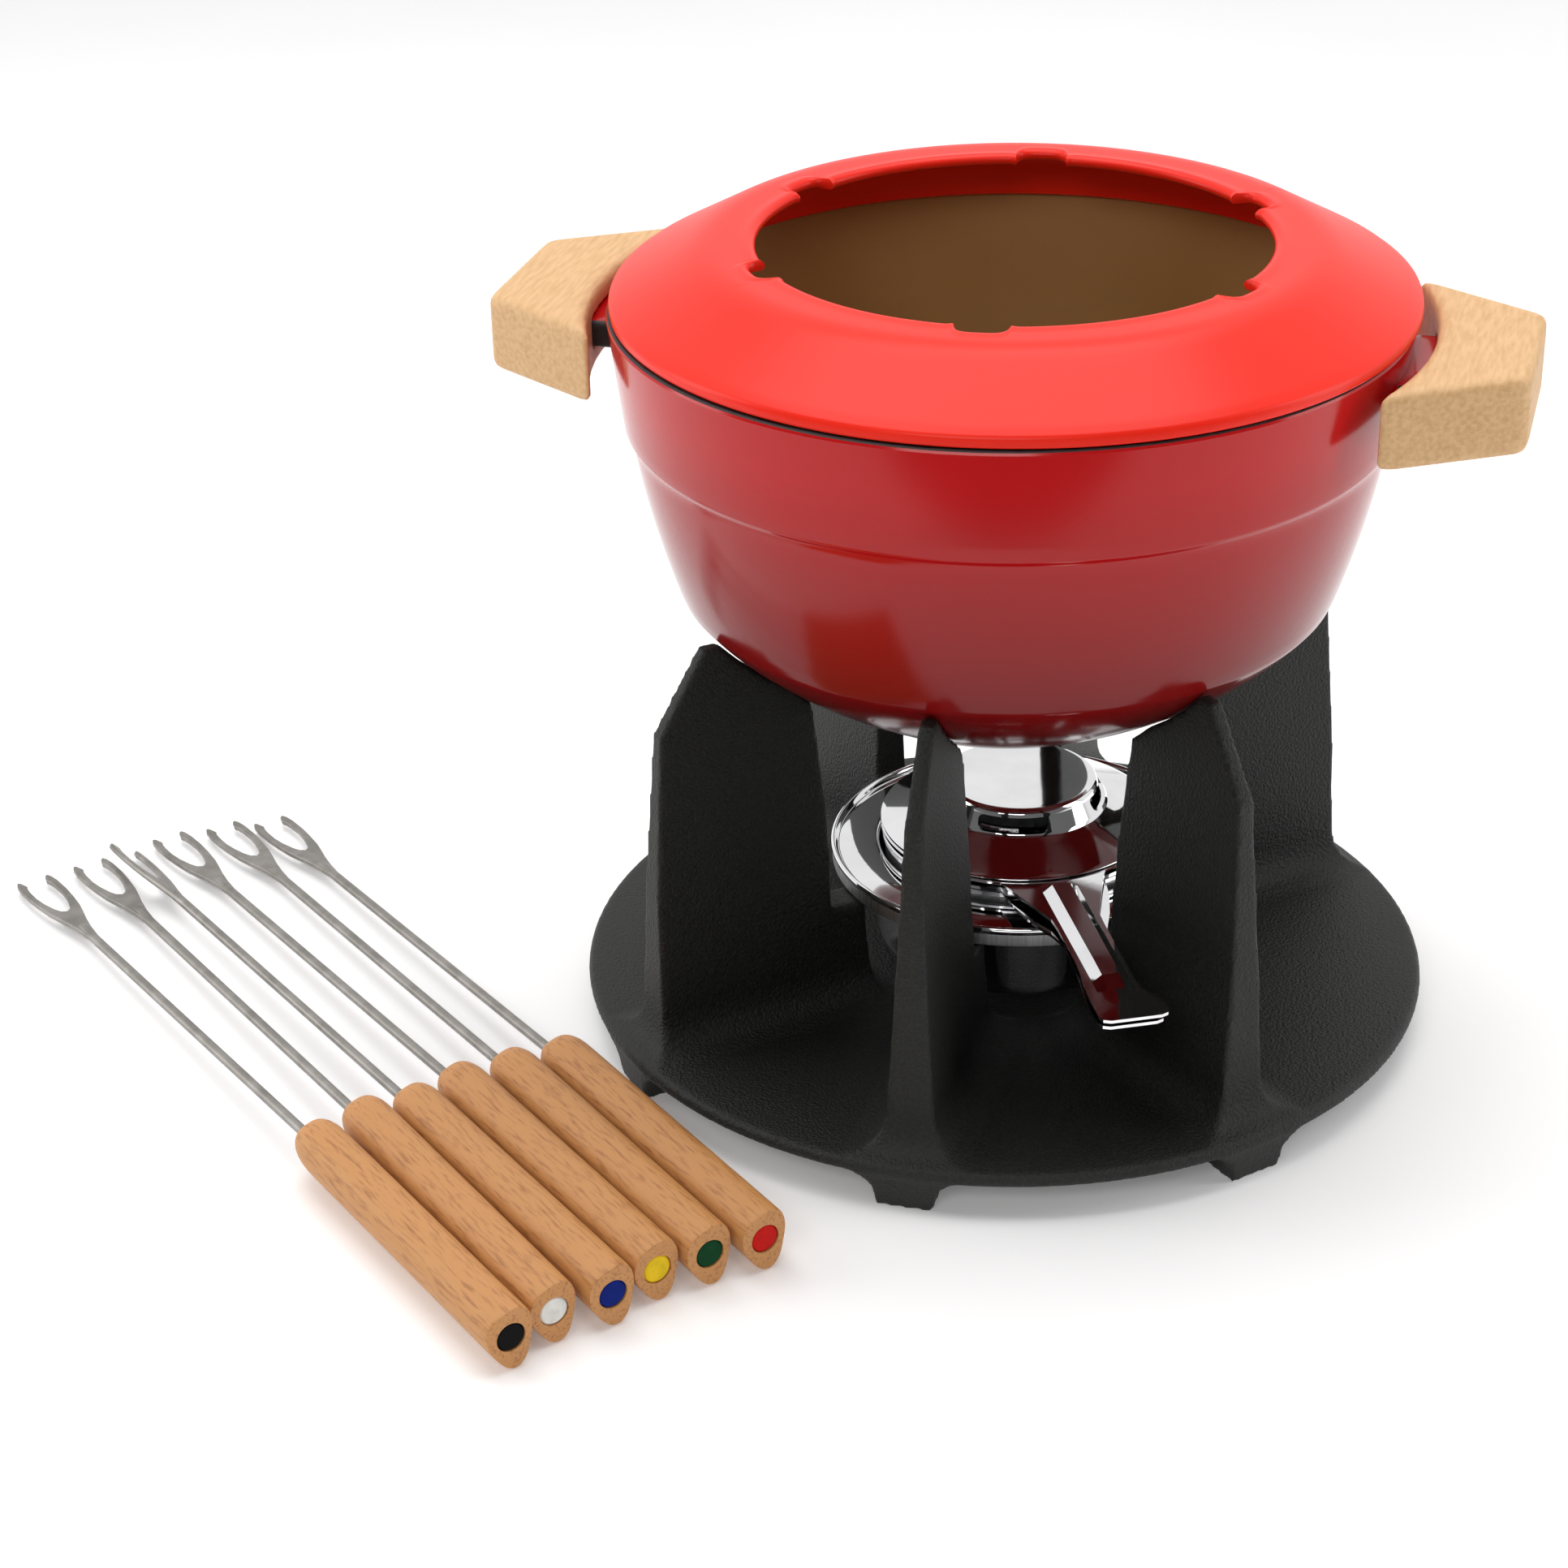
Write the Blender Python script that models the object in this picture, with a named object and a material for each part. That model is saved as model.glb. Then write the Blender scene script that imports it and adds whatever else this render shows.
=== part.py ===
"""Fondue set: cast stand, gel burner, enamelled pot with a fork-rest ring, and six forks laid beside it.

Metres, +Z up. The origin is the middle of the whole set's footprint, on the table. The stand, the pot
and the ring share one vertical axis, which stands at (AXIS_X, AXIS_Y).
"""

import math

import bmesh
import bpy
from mathutils import Matrix, Vector

# Places
AXIS_X = 0.0793
AXIS_Y = 0.0344
GAP = 0.0003
FIN_ANGLES = (-149.7, -102.2, -54.7, 30.3, 77.8, 125.3)
HANDLE_ANGLE = -12.2

# Stand
PLATE_RADIUS = 0.115
PLATE_TOP = 0.0129
PLATE_BOTTOM = 0.0094
FOOT_HALF_WIDTH = 0.0075
FILLET = 0.009
FIN_ROOT_HALF = 0.0069
FIN_TIP_HALF = 0.0020
FIN_PEAK = 0.1243
FIN_PEAK_OUTER = 0.0892
FIN_PEAK_INNER = 0.0842
FIN_SHOULDER = 0.1026
FIN_SHOULDER_RADIUS = 0.1024
FIN_OUTER_ROOT = 0.1072
FIN_BASE_INNER = 0.0435
LEDGE_HEIGHT = 0.0411
LEDGE_INNER = 0.0455
SEAT_RADIUS = 0.0554

# Pot
BASE_RADIUS = 0.0425
BASE_HEIGHT = 0.0955
CREASE_RADIUS = 0.0860
CREASE_HEIGHT = 0.1272
UNDERSIDE_BULGE = 0.0048
STEP_RADIUS = 0.0972
STEP_HEIGHT = 0.1722
STEP_DEPTH = 0.0014
WALL_BULGE = 0.0011
RIM_RADIUS = 0.1021
RIM_HEIGHT = 0.2018
POT_WALL = 0.0046

# Fork-rest ring
RING_X = 0.0009
RING_Y = 0.0011
RING_RADIUS = 0.1024
RING_EDGE_TOP = 0.2052
RING_THICKNESS = 0.0026
RING_SHOULDER_RADIUS = 0.0785
RING_TOP = 0.2181
RING_BLEND = 0.004
OPENING_RADIUS = 0.0650
SKIRT_RADIUS = 0.0947
SKIRT_BOTTOM = 0.1982
NOTCH_ANGLE = -96.3
NOTCH_DEPTH = 0.0045
NOTCH_HALF_ANGLE = 5.7

# Wooden pot handles
HANDLE_TOP = 0.2003
HANDLE_THICKNESS = 0.0200
HANDLE_ARC_RADIUS = 0.1070
HANDLE_ARC_HALF_ANGLE = 24.0
HANDLE_REACH = 0.1323
HANDLE_OUTER_HALF = 0.0235
LUG_HALF_WIDTH = 0.0190
LUG_THICKNESS = 0.0070
LUG_REACH = 0.1210
SCREW_RADIUS_FROM_AXIS = 0.1145
SCREW_HEAD_RADIUS = 0.0038
SCREW_SHANK_RADIUS = 0.0020

# Burner
BURNER_X = 0.0042
SHEET = 0.0009
DISH_RADIUS = 0.0510
BEAD_RADIUS = 0.0514
BEAD_TOP = 0.0471
DISH_LIP = 0.0470
BOWL_RADIUS = 0.0389
BOWL_BOTTOM = 0.0180
CAN_RADIUS = 0.0364
CAN_TOP = 0.0498
REGULATOR_RADIUS = 0.0374
REGULATOR_TOP = 0.0510
BRIM_RADIUS = 0.0378
BRIM_TOP = 0.0534
COVER_TOP = 0.0656
DISC_RADIUS = 0.0196
NECK_RADIUS = 0.0214
NECK_BASE_RADIUS = 0.0235
SLEEVE_RADIUS = 0.0200
SLEEVE_TOP = 0.0636
WINDOW_ANGLE = -94
WINDOW_HALF_WIDTH = 0.0095
WINDOW_LOW = 0.0598
WINDOW_HIGH = 0.0637
LEVER_ANGLE = -75.0
LEVER_END = 0.1080
RIB_BASE_HALF = 0.0049
RIB_TOP_HALF = 0.0024

# Forks
FORK_DIRECTION = 127.4
FORK_PITCH = 0.0142
FORK_FIRST_LATERAL = -0.2002
FORK_COLOURS = ("black", "white", "blue", "yellow", "green", "red")
FORK_STAGGER = (-0.0740, -0.0712, -0.0735, -0.0712, -0.0732, -0.0758)
FORK_YAW = (0.5, -0.4, 0.4, 0.1, -0.4, -0.2)
PRONG_ROLL = (0, 0, 34, 0, 0, 0)
FORK_LENGTHS = (0.2845, 0.2815, 0.2825, 0.2830, 0.2815, 0.2785)
FORK_HANDLE_LENGTH = 0.1035
FORK_AXIS = 0.0097
FORK_AXIS_AT_TIP = (0.0024, 0.0024, 0.0046, 0.0024, 0.0024, 0.0024)
ROD_RADIUS = 0.0014
ROD_HOLE_RADIUS = 0.0018
ROD_DEPTH = 0.025
HEAD_LENGTH = 0.0450
TINE_THICKNESS = 0.0016
DOT_RADIUS = 0.0036
DOT_DEPTH = 0.0030


def clear_scene():
    for obj in list(bpy.data.objects):
        bpy.data.objects.remove(obj)


def make_material(name, colour, roughness, metallic=0.0):
    mat = bpy.data.materials.new(name)
    mat.use_nodes = True
    shader = mat.node_tree.nodes["Principled BSDF"]
    shader.inputs["Base Color"].default_value = (*colour, 1.0)
    shader.inputs["Roughness"].default_value = roughness
    shader.inputs["Metallic"].default_value = metallic
    mat.diffuse_color = (*colour, 1.0)
    return mat


def add_object(name, bm, mat, location=(0, 0, 0), angle=0.0, smooth=35.0):
    """Turns a bmesh into an object. The angle, in degrees, is about +Z."""
    bmesh.ops.recalc_face_normals(bm, faces=bm.faces)
    mesh = bpy.data.meshes.new(name)
    bm.to_mesh(mesh)
    bm.free()
    mesh.shade_smooth()
    mesh.set_sharp_from_angle(angle=math.radians(smooth))
    mesh.materials.append(mat)
    obj = bpy.data.objects.new(name, mesh)
    obj.location = location
    obj.rotation_euler = (0, 0, math.radians(angle))
    bpy.context.scene.collection.objects.link(obj)
    return obj


def on_axis(height=0.0):
    return (AXIS_X, AXIS_Y, height)


def on_burner_axis(height=0.0):
    return (AXIS_X + BURNER_X, AXIS_Y, height)


def helper(obj):
    obj.hide_render = True
    obj.display_type = "WIRE"
    return obj


def combine(obj, other, operation):
    modifier = obj.modifiers.new(other.name, "BOOLEAN")
    modifier.operation = operation
    modifier.object = helper(other)


def soften(obj, width, segments=2):
    modifier = obj.modifiers.new("rounded_edges", "BEVEL")
    modifier.width = width
    modifier.segments = segments
    modifier.limit_method = "ANGLE"
    modifier.angle_limit = math.radians(40)


def turned(profile, segments):
    """A turned solid. The (radius, height) profile is closed, or starts and ends on the axis."""
    bm = bmesh.new()
    verts = [bm.verts.new((radius, 0, height)) for radius, height in profile]
    edges = [bm.edges.new(pair) for pair in zip(verts, verts[1:])]
    if profile[0][0] > 0:
        edges.append(bm.edges.new((verts[-1], verts[0])))
    bmesh.ops.spin(
        bm,
        geom=verts + edges,
        cent=(0, 0, 0),
        axis=(0, 0, 1),
        angle=2 * math.pi,
        steps=segments,
        use_merge=True,
    )
    bmesh.ops.remove_doubles(bm, verts=bm.verts, dist=1e-6)
    return bm


def loft(rings):
    """A solid through closed rings of equal length, with flat ends."""
    bm = bmesh.new()
    rows = [[bm.verts.new(point) for point in ring] for ring in rings]
    count = len(rows[0])
    for row, following in zip(rows, rows[1:]):
        for i in range(count):
            j = (i + 1) % count
            bm.faces.new((row[i], row[j], following[j], following[i]))
    bm.faces.new(rows[0])
    bm.faces.new(reversed(rows[-1]))
    return bm


def prism(outline, low, high):
    """A solid between two heights over an outline of (x, y) points."""
    return loft([[(x, y, z) for x, y in outline] for z in (low, high)])


def box(x_range, y_range, z_range):
    (x_low, x_high), (y_low, y_high) = x_range, y_range
    return prism([(x_low, y_low), (x_high, y_low), (x_high, y_high), (x_low, y_high)], *z_range)


def between(points, value):
    """Straight-line interpolation in a list of (value, result) pairs."""
    for (low, first), (high, last) in zip(points, points[1:]):
        if value <= high:
            return first + (last - first) * (value - low) / (high - low)
    return points[-1][1]


def fillet_reach(height_above):
    """How far a concave fillet still stands out at a height above the surface it runs into."""
    if height_above >= FILLET:
        return 0.0
    left = FILLET - height_above
    return FILLET - math.sqrt(FILLET**2 - left**2)


# Stand casting


def underside_radius(height):
    """Outer radius of the pot between its flat base and the crease."""
    t = (height - BASE_HEIGHT) / (CREASE_HEIGHT - BASE_HEIGHT)
    straight = BASE_RADIUS + (CREASE_RADIUS - BASE_RADIUS) * t
    return straight + 4 * UNDERSIDE_BULGE * t * (1 - t)


def fin_inner(height):
    if height < LEDGE_HEIGHT:
        reach = 0.6 * fillet_reach(height - PLATE_TOP)
        return between([(0, FIN_BASE_INNER), (LEDGE_HEIGHT, LEDGE_INNER)], height) - reach
    if height > FIN_SHOULDER:
        return underside_radius(height + GAP) + GAP
    edge = [(LEDGE_HEIGHT, SEAT_RADIUS), (0.0704, 0.0556), (0.0934, 0.0577), (FIN_SHOULDER, 0.0591)]
    return between(edge, height)


def fin_outer(height):
    reach = 0.7 * fillet_reach(height - PLATE_TOP)
    edge = [
        (0, FIN_OUTER_ROOT),
        (0.0554, 0.1058),
        (FIN_SHOULDER, FIN_SHOULDER_RADIUS),
        (FIN_PEAK, FIN_PEAK_OUTER),
    ]
    return between(edge, height) + reach


def fin_half(height):
    rest = (FIN_PEAK - height) / (FIN_PEAK - PLATE_TOP)
    return FIN_TIP_HALF + (FIN_ROOT_HALF - FIN_TIP_HALF) * rest**1.5 + fillet_reach(height - PLATE_TOP)


def block_ring(inner, outer, half, height):
    """Four corners at one height of a block along +X."""
    return [(inner, -half, height), (outer, -half, height), (outer, half, height), (inner, half, height)]


def fin_solid():
    """One upright fin along +X: drafted sides, a ledge for the burner, a top that follows the pot."""
    heights = [PLATE_TOP + step for step in (0, 0.0012, 0.003, 0.0055, FILLET, 0.016)]
    heights += [LEDGE_HEIGHT - 0.0002, LEDGE_HEIGHT + 0.0001, 0.0554, 0.0704, 0.0934, FIN_SHOULDER]
    heights += [0.1080, 0.1135, 0.1190]
    rings = []
    for height in [PLATE_TOP - 0.0015] + heights + [FIN_PEAK]:
        level = max(height, PLATE_TOP)
        inner = FIN_PEAK_INNER if height == FIN_PEAK else fin_inner(level)
        outer = fin_outer(level)
        half = fin_half(level)
        rings.append(block_ring(inner, outer, half, height))
    return loft(rings)


def foot_solid():
    """One foot along +X, flared into the underside of the plate."""
    rings = []
    for height, spread in ((0, 0), (0.0042, 0.0004), (0.0068, 0.0018), (0.0086, 0.0042), (0.0105, 0.0075)):
        half = FOOT_HALF_WIDTH + spread
        outer = 0.1134 + 0.12 * height
        inner = 0.1005 - spread
        rings.append(block_ring(inner, outer, half, height))
    return loft(rings)


def make_stand(mat):
    profile = [
        (0, PLATE_TOP),
        (PLATE_RADIUS - 0.0012, PLATE_TOP),
        (PLATE_RADIUS, PLATE_TOP - 0.0008),
        (PLATE_RADIUS + 0.0004, PLATE_BOTTOM + 0.0006),
        (PLATE_RADIUS - 0.0004, PLATE_BOTTOM),
        (0, PLATE_BOTTOM),
    ]
    stand = add_object("stand_casting", turned(profile, 96), mat, on_axis())
    for angle in FIN_ANGLES:
        combine(stand, add_object(f"fin_{angle}", fin_solid(), mat, on_axis(), angle), "UNION")
        combine(stand, add_object(f"foot_{angle}", foot_solid(), mat, on_axis(), angle), "UNION")


# Pot


def wall_radius(height, inset=0.0):
    """Radius of the wall between the crease and the step."""
    t = (height - CREASE_HEIGHT) / (STEP_HEIGHT - CREASE_HEIGHT)
    return CREASE_RADIUS + (STEP_RADIUS - CREASE_RADIUS) * t + 4 * WALL_BULGE * t * (1 - t) - inset


def pot_profile():
    outer = [(RIM_RADIUS - 0.0008, RIM_HEIGHT), (RIM_RADIUS, RIM_HEIGHT - 0.0009)]
    outer += [(STEP_RADIUS + STEP_DEPTH + 0.0001, STEP_HEIGHT + 0.0012), (STEP_RADIUS + 0.0008, STEP_HEIGHT)]
    outer += [(STEP_RADIUS, STEP_HEIGHT - 0.0012)]
    for step in (0.8, 0.6, 0.4, 0.2, 0.06):
        height = CREASE_HEIGHT + step * (STEP_HEIGHT - CREASE_HEIGHT)
        outer.append((wall_radius(height), height))
    outer.append((CREASE_RADIUS - 0.0004, CREASE_HEIGHT - 0.0005))
    for step in (0.93, 0.8, 0.6, 0.4, 0.2):
        height = BASE_HEIGHT + step * (CREASE_HEIGHT - BASE_HEIGHT)
        outer.append((underside_radius(height), height))
    outer += [(BASE_RADIUS + 0.001, BASE_HEIGHT + 0.0006), (BASE_RADIUS - 0.001, BASE_HEIGHT)]
    outer.append((0, BASE_HEIGHT))
    inner = [(0, BASE_HEIGHT + POT_WALL), (0.0380, BASE_HEIGHT + POT_WALL + 0.0004)]
    inner += [(0.0520, 0.1046), (0.0655, 0.1128), (0.0750, 0.1212), (0.0806, 0.1300)]
    for step in (0.3, 0.55, 0.8, 1.0):
        height = CREASE_HEIGHT + step * (STEP_HEIGHT - CREASE_HEIGHT)
        inner.append((wall_radius(height, POT_WALL), height))
    inner += [(RIM_RADIUS - 0.0052, RIM_HEIGHT - 0.0010), (RIM_RADIUS - 0.0044, RIM_HEIGHT)]
    return inner + outer


def make_pot(mat):
    profile = pot_profile()
    pot = add_object("pot_body", turned(profile, 72), mat, on_axis())
    middle = HANDLE_TOP - HANDLE_THICKNESS / 2
    thick = LUG_THICKNESS / 2
    for angle in (HANDLE_ANGLE, HANDLE_ANGLE + 180):
        lug = box((0.0990, LUG_REACH), (-LUG_HALF_WIDTH, LUG_HALF_WIDTH), (-thick, thick))
        lug = add_object(f"lug_{angle}", lug, mat, on_axis(middle), angle)
        soften(lug, 0.0012)
        combine(pot, lug, "UNION")
    for angle in (HANDLE_ANGLE, HANDLE_ANGLE + 180):
        hole = turned([(0, 0.006), (0.0023, 0.006), (0.0023, -0.006), (0, -0.006)], 16)
        place = Vector(on_axis(middle)) + Vector(polar(SCREW_RADIUS_FROM_AXIS, angle))
        combine(pot, add_object(f"lug_hole_{angle}", hole, mat, place), "DIFFERENCE")


def polar(radius, angle, height=0.0):
    return (radius * math.cos(math.radians(angle)), radius * math.sin(math.radians(angle)), height)


# Fork-rest ring


def opening_radius(angle):
    """Radius of the ring's opening at an angle in degrees: a circle with six rounded notches."""
    away = abs((angle - NOTCH_ANGLE + 30) % 60 - 30) / NOTCH_HALF_ANGLE
    if away < 1:
        return OPENING_RADIUS + NOTCH_DEPTH * (1 - away**4) ** 0.5
    cusp = 0.0007 * math.exp(-(((away - 1.08) / 0.12) ** 2))
    return OPENING_RADIUS - cusp


def ring_top(radius):
    """Height of the ring's top: a cone up to a rounded shoulder, then flat to the opening."""
    slope = (RING_TOP - RING_EDGE_TOP) / (RING_RADIUS - RING_SHOULDER_RADIUS)
    outside = radius - RING_SHOULDER_RADIUS
    if outside > RING_BLEND:
        return RING_TOP - slope * outside
    return RING_TOP - slope * max(outside + RING_BLEND, 0) ** 2 / (4 * RING_BLEND)


def ring_section(opening):
    """Closed (radius, height) section of the ring where its opening has the given radius."""
    lip = opening + 0.0040
    under = RING_THICKNESS
    points = [(opening + 0.0016, ring_top(opening) + 0.0003), (opening + 0.0004, ring_top(opening) - 0.0004)]
    points += [(opening, ring_top(opening) - 0.0014), (opening + 0.0007, ring_top(opening) - 0.0025)]
    points += [(lip, ring_top(lip) - under), (0.0755, ring_top(0.0755) - under * 1.05)]
    points.append((0.0800, ring_top(0.0800) - under * 1.1))
    points.append((SKIRT_RADIUS - 0.0021, ring_top(SKIRT_RADIUS) - under))
    points += [(SKIRT_RADIUS - 0.0021, SKIRT_BOTTOM + 0.0006), (SKIRT_RADIUS - 0.0010, SKIRT_BOTTOM)]
    points += [(SKIRT_RADIUS, SKIRT_BOTTOM + 0.0006), (SKIRT_RADIUS, RIM_HEIGHT + GAP)]
    points += [(RING_RADIUS - 0.0006, RIM_HEIGHT + GAP), (RING_RADIUS, RIM_HEIGHT + 0.0011)]
    points += [(RING_RADIUS - 0.0001, RING_EDGE_TOP - 0.0008), (RING_RADIUS - 0.0009, RING_EDGE_TOP + 0.0002)]
    points += [(radius, ring_top(radius)) for radius in (0.0840, 0.0808, 0.0785, 0.0760)]
    points.append((lip, ring_top(lip)))
    return points


def make_ring(mat):
    bm = bmesh.new()
    steps = (-30, -22, -14, -8.4, -6.5, -5.6, -5, -3, 0, 3, 5, 5.6, 6.5, 8.4, 14, 22)
    angles = [NOTCH_ANGLE + 60 * sector + step for sector in range(6) for step in steps]
    rows = []
    for angle in angles:
        section = ring_section(opening_radius(angle))
        rows.append([bm.verts.new(polar(radius, angle, height)) for radius, height in section])
    for row, following in zip(rows, rows[1:] + rows[:1]):
        for i in range(len(row)):
            j = (i + 1) % len(row)
            bm.faces.new((row[i], row[j], following[j], following[i]))
    add_object("fork_rest_ring", bm, mat, (AXIS_X + RING_X, AXIS_Y + RING_Y, 0))


# Wooden pot handles


def handle_outline():
    """Plan of a handle along +X: a wide arc round the pot, tapering sides and a narrower outer face."""
    arc = [polar(HANDLE_ARC_RADIUS, HANDLE_ARC_HALF_ANGLE * step / 6)[:2] for step in range(-6, 7)]
    outer = []
    for side in (1, -1):
        for reach, half in ((0.0045, 0.0022), (0.0016, 0.0004), (0.0003, -0.0016), (0, -0.006)):
            outer.append((HANDLE_REACH - reach, side * (HANDLE_OUTER_HALF + half)))
    first, second = outer[:4], outer[4:][::-1]
    return arc + first + second


def make_handle(name, angle, wood, steel):
    bottom = HANDLE_TOP - HANDLE_THICKNESS
    middle = HANDLE_TOP - HANDLE_THICKNESS / 2
    handle = add_object(f"handle_{name}", prism(handle_outline(), bottom, HANDLE_TOP), wood, on_axis(), angle)
    soften(handle, 0.0022)
    half = LUG_HALF_WIDTH + 0.0004
    thick = LUG_THICKNESS / 2 + 0.0003
    mortise = box((0.0950, LUG_REACH + 0.0006), (-half, half), (middle - thick, middle + thick))
    combine(handle, add_object(f"mortise_{name}", mortise, wood, on_axis(), angle), "DIFFERENCE")
    place = Vector(on_axis()) + Vector(polar(SCREW_RADIUS_FROM_AXIS, angle))
    bore = [(0, 0.1978), (0.0023, 0.1978), (0.0023, 0.1845), (0.0047, 0.1845), (0.0047, 0.1790), (0, 0.1790)]
    combine(handle, add_object(f"bore_{name}", turned(bore, 20), wood, place), "DIFFERENCE")
    screw = [
        (0, 0.1816),
        (0.0014, 0.1816),
        (0.0014, 0.1808),
        (SCREW_HEAD_RADIUS - 0.0006, 0.1808),
        (SCREW_HEAD_RADIUS, 0.1814),
        (SCREW_HEAD_RADIUS, 0.1832),
        (SCREW_SHANK_RADIUS, 0.1832),
        (SCREW_SHANK_RADIUS, 0.1965),
        (0.0010, 0.1974),
        (0, 0.1974),
    ]
    add_object(f"handle_screw_{name}", turned(screw, 20), steel, place)
    washer = [(0.0023, 0.1842), (0.0044, 0.1842), (0.0044, 0.1835), (0.0023, 0.1835)]
    add_object(f"handle_washer_{name}", turned(washer, 20), steel, place)


# Burner


def make_burner_dish(mat):
    inside = BOWL_RADIUS - SHEET
    skirt_bottom = LEDGE_HEIGHT + GAP
    profile = [
        (0, BOWL_BOTTOM + SHEET),
        (0.0358, BOWL_BOTTOM + SHEET),
        (0.0374, BOWL_BOTTOM + 0.0020),
        (inside, BOWL_BOTTOM + 0.0040),
        (inside, DISH_LIP - 0.0006),
        (inside + 0.0006, DISH_LIP),
        (0.0450, 0.0461),
        (DISH_RADIUS - 0.0016, 0.0454),
        (DISH_RADIUS - 0.0012, BEAD_TOP - 0.0009),
        (DISH_RADIUS - 0.0005, BEAD_TOP),
        (BEAD_RADIUS - 0.0001, BEAD_TOP - 0.0004),
        (BEAD_RADIUS, BEAD_TOP - 0.0014),
        (DISH_RADIUS, BEAD_TOP - 0.0019),
        (DISH_RADIUS, skirt_bottom),
        (DISH_RADIUS - SHEET, skirt_bottom),
        (DISH_RADIUS - SHEET, 0.0444),
        (0.0450, 0.0451),
        (BOWL_RADIUS + 0.0006, DISH_LIP - 0.0011),
        (BOWL_RADIUS, DISH_LIP - 0.0018),
        (BOWL_RADIUS, BOWL_BOTTOM + 0.0040),
        (BOWL_RADIUS - 0.0006, BOWL_BOTTOM + 0.0014),
        (0.0362, BOWL_BOTTOM),
        (0, BOWL_BOTTOM),
    ]
    add_object("burner_dish", turned(profile, 56), mat, on_burner_axis())


def make_fuel_can(mat):
    low = BOWL_BOTTOM + SHEET + GAP
    profile = [
        (0, low + 0.0008),
        (CAN_RADIUS - 0.0014, low + 0.0008),
        (CAN_RADIUS - 0.0008, low + 0.0016),
        (CAN_RADIUS - 0.0008, CAN_TOP - 0.0010),
        (CAN_RADIUS - 0.0002, CAN_TOP),
        (CAN_RADIUS + 0.0008, CAN_TOP - 0.0002),
        (CAN_RADIUS + 0.0008, CAN_TOP - 0.0014),
        (CAN_RADIUS, CAN_TOP - 0.0020),
        (CAN_RADIUS, low + 0.0012),
        (CAN_RADIUS - 0.0012, low),
        (0, low),
    ]
    add_object("fuel_can", turned(profile, 48), mat, on_burner_axis())


def cut_windows(obj, mat):
    """Four openings through a wall round the burner's axis."""
    for turn in range(4):
        cutter = box((0.0150, 0.0300), (-WINDOW_HALF_WIDTH, WINDOW_HALF_WIDTH), (WINDOW_LOW, WINDOW_HIGH))
        name = f"{obj.name}_window_{turn}"
        combine(obj, add_object(name, cutter, mat, on_burner_axis(), WINDOW_ANGLE + 90 * turn), "DIFFERENCE")


def make_cover(mat):
    foot = BRIM_TOP + GAP
    profile = [
        (0, COVER_TOP),
        (DISC_RADIUS, COVER_TOP),
        (DISC_RADIUS + 0.0010, COVER_TOP - 0.0003),
        (DISC_RADIUS + 0.0016, COVER_TOP - 0.0010),
        (NECK_RADIUS, COVER_TOP - 0.0018),
        (NECK_BASE_RADIUS, 0.0597),
        (NECK_BASE_RADIUS + 0.0006, 0.0590),
        (NECK_BASE_RADIUS + 0.0030, 0.0581),
        (0.0320, 0.0561),
        (0.0362, 0.0545),
        (BRIM_RADIUS - 0.0002, foot + 0.0003),
        (BRIM_RADIUS - 0.0002, foot),
        (0.0350, foot),
        (0.0318, 0.0551),
        (NECK_BASE_RADIUS + 0.0026, 0.0571),
        (NECK_BASE_RADIUS, 0.0581),
        (NECK_BASE_RADIUS - 0.0008, 0.0590),
        (NECK_RADIUS - 0.0008, COVER_TOP - 0.0021),
        (DISC_RADIUS + 0.0007, COVER_TOP - 0.0015),
        (DISC_RADIUS - 0.0002, COVER_TOP - SHEET),
        (0, COVER_TOP - SHEET),
    ]
    cover = add_object("burner_cover", turned(profile, 56), mat, on_burner_axis())
    cut_windows(cover, mat)


def lever_bm(stations):
    """A sheet lever along +X. Each station is (reach, height, left, right, rib height)."""
    rings = []
    half_sheet = SHEET / 2 - 0.00003
    for reach, height, left, right, rib in stations:
        base = min(RIB_BASE_HALF, 0.8 * min(left, right))
        top = base * RIB_TOP_HALF / RIB_BASE_HALF
        upper = [(-left, 0), (-base, 0), (-top, rib), (top, rib), (base, 0), (right, 0)]
        ring = [(reach, side, height + lift + half_sheet) for side, lift in upper]
        ring += [(reach, side, height + lift - half_sheet) for side, lift in upper[::-1]]
        rings.append(ring)
    return loft(rings)


def plate_ring(inner, outer, top):
    return turned([(inner, top), (outer, top), (outer, top - SHEET), (inner, top - SHEET)], 56)


def make_cover_handle(mat):
    middle = BRIM_TOP - SHEET / 2
    stations = [
        (0.0345, middle, 0.0146, 0.0146, 0),
        (0.0418, middle, 0.0120, 0.0118, 0),
        (0.0432, middle, 0.0115, 0.0113, 0.0020),
        (0.0510, middle, 0.0086, 0.0085, 0.0021),
        (0.0570, middle, 0.0064, 0.0065, 0.0021),
        (0.0620, middle, 0.0061, 0.0063, 0.0021),
        (0.0810, middle, 0.0063, 0.0060, 0.0021),
        (0.0895, middle, 0.0070, 0.0060, 0.0019),
        (0.0945, middle, 0.0075, 0.0064, 0.0004),
        (0.0980, middle, 0.0077, 0.0080, 0),
        (0.1010, middle, 0.0077, 0.0099, 0),
        (LEVER_END - 0.0026, middle, 0.0077, 0.0103, 0),
        (LEVER_END - 0.0008, middle, 0.0070, 0.0096, 0),
        (LEVER_END, middle, 0.0052, 0.0078, 0),
    ]
    handle = add_object("cover_handle", plate_ring(0.0330, BRIM_RADIUS, BRIM_TOP), mat, on_burner_axis())
    lever = add_object("cover_lever", lever_bm(stations), mat, on_burner_axis(), LEVER_ANGLE)
    combine(handle, lever, "UNION")


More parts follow.
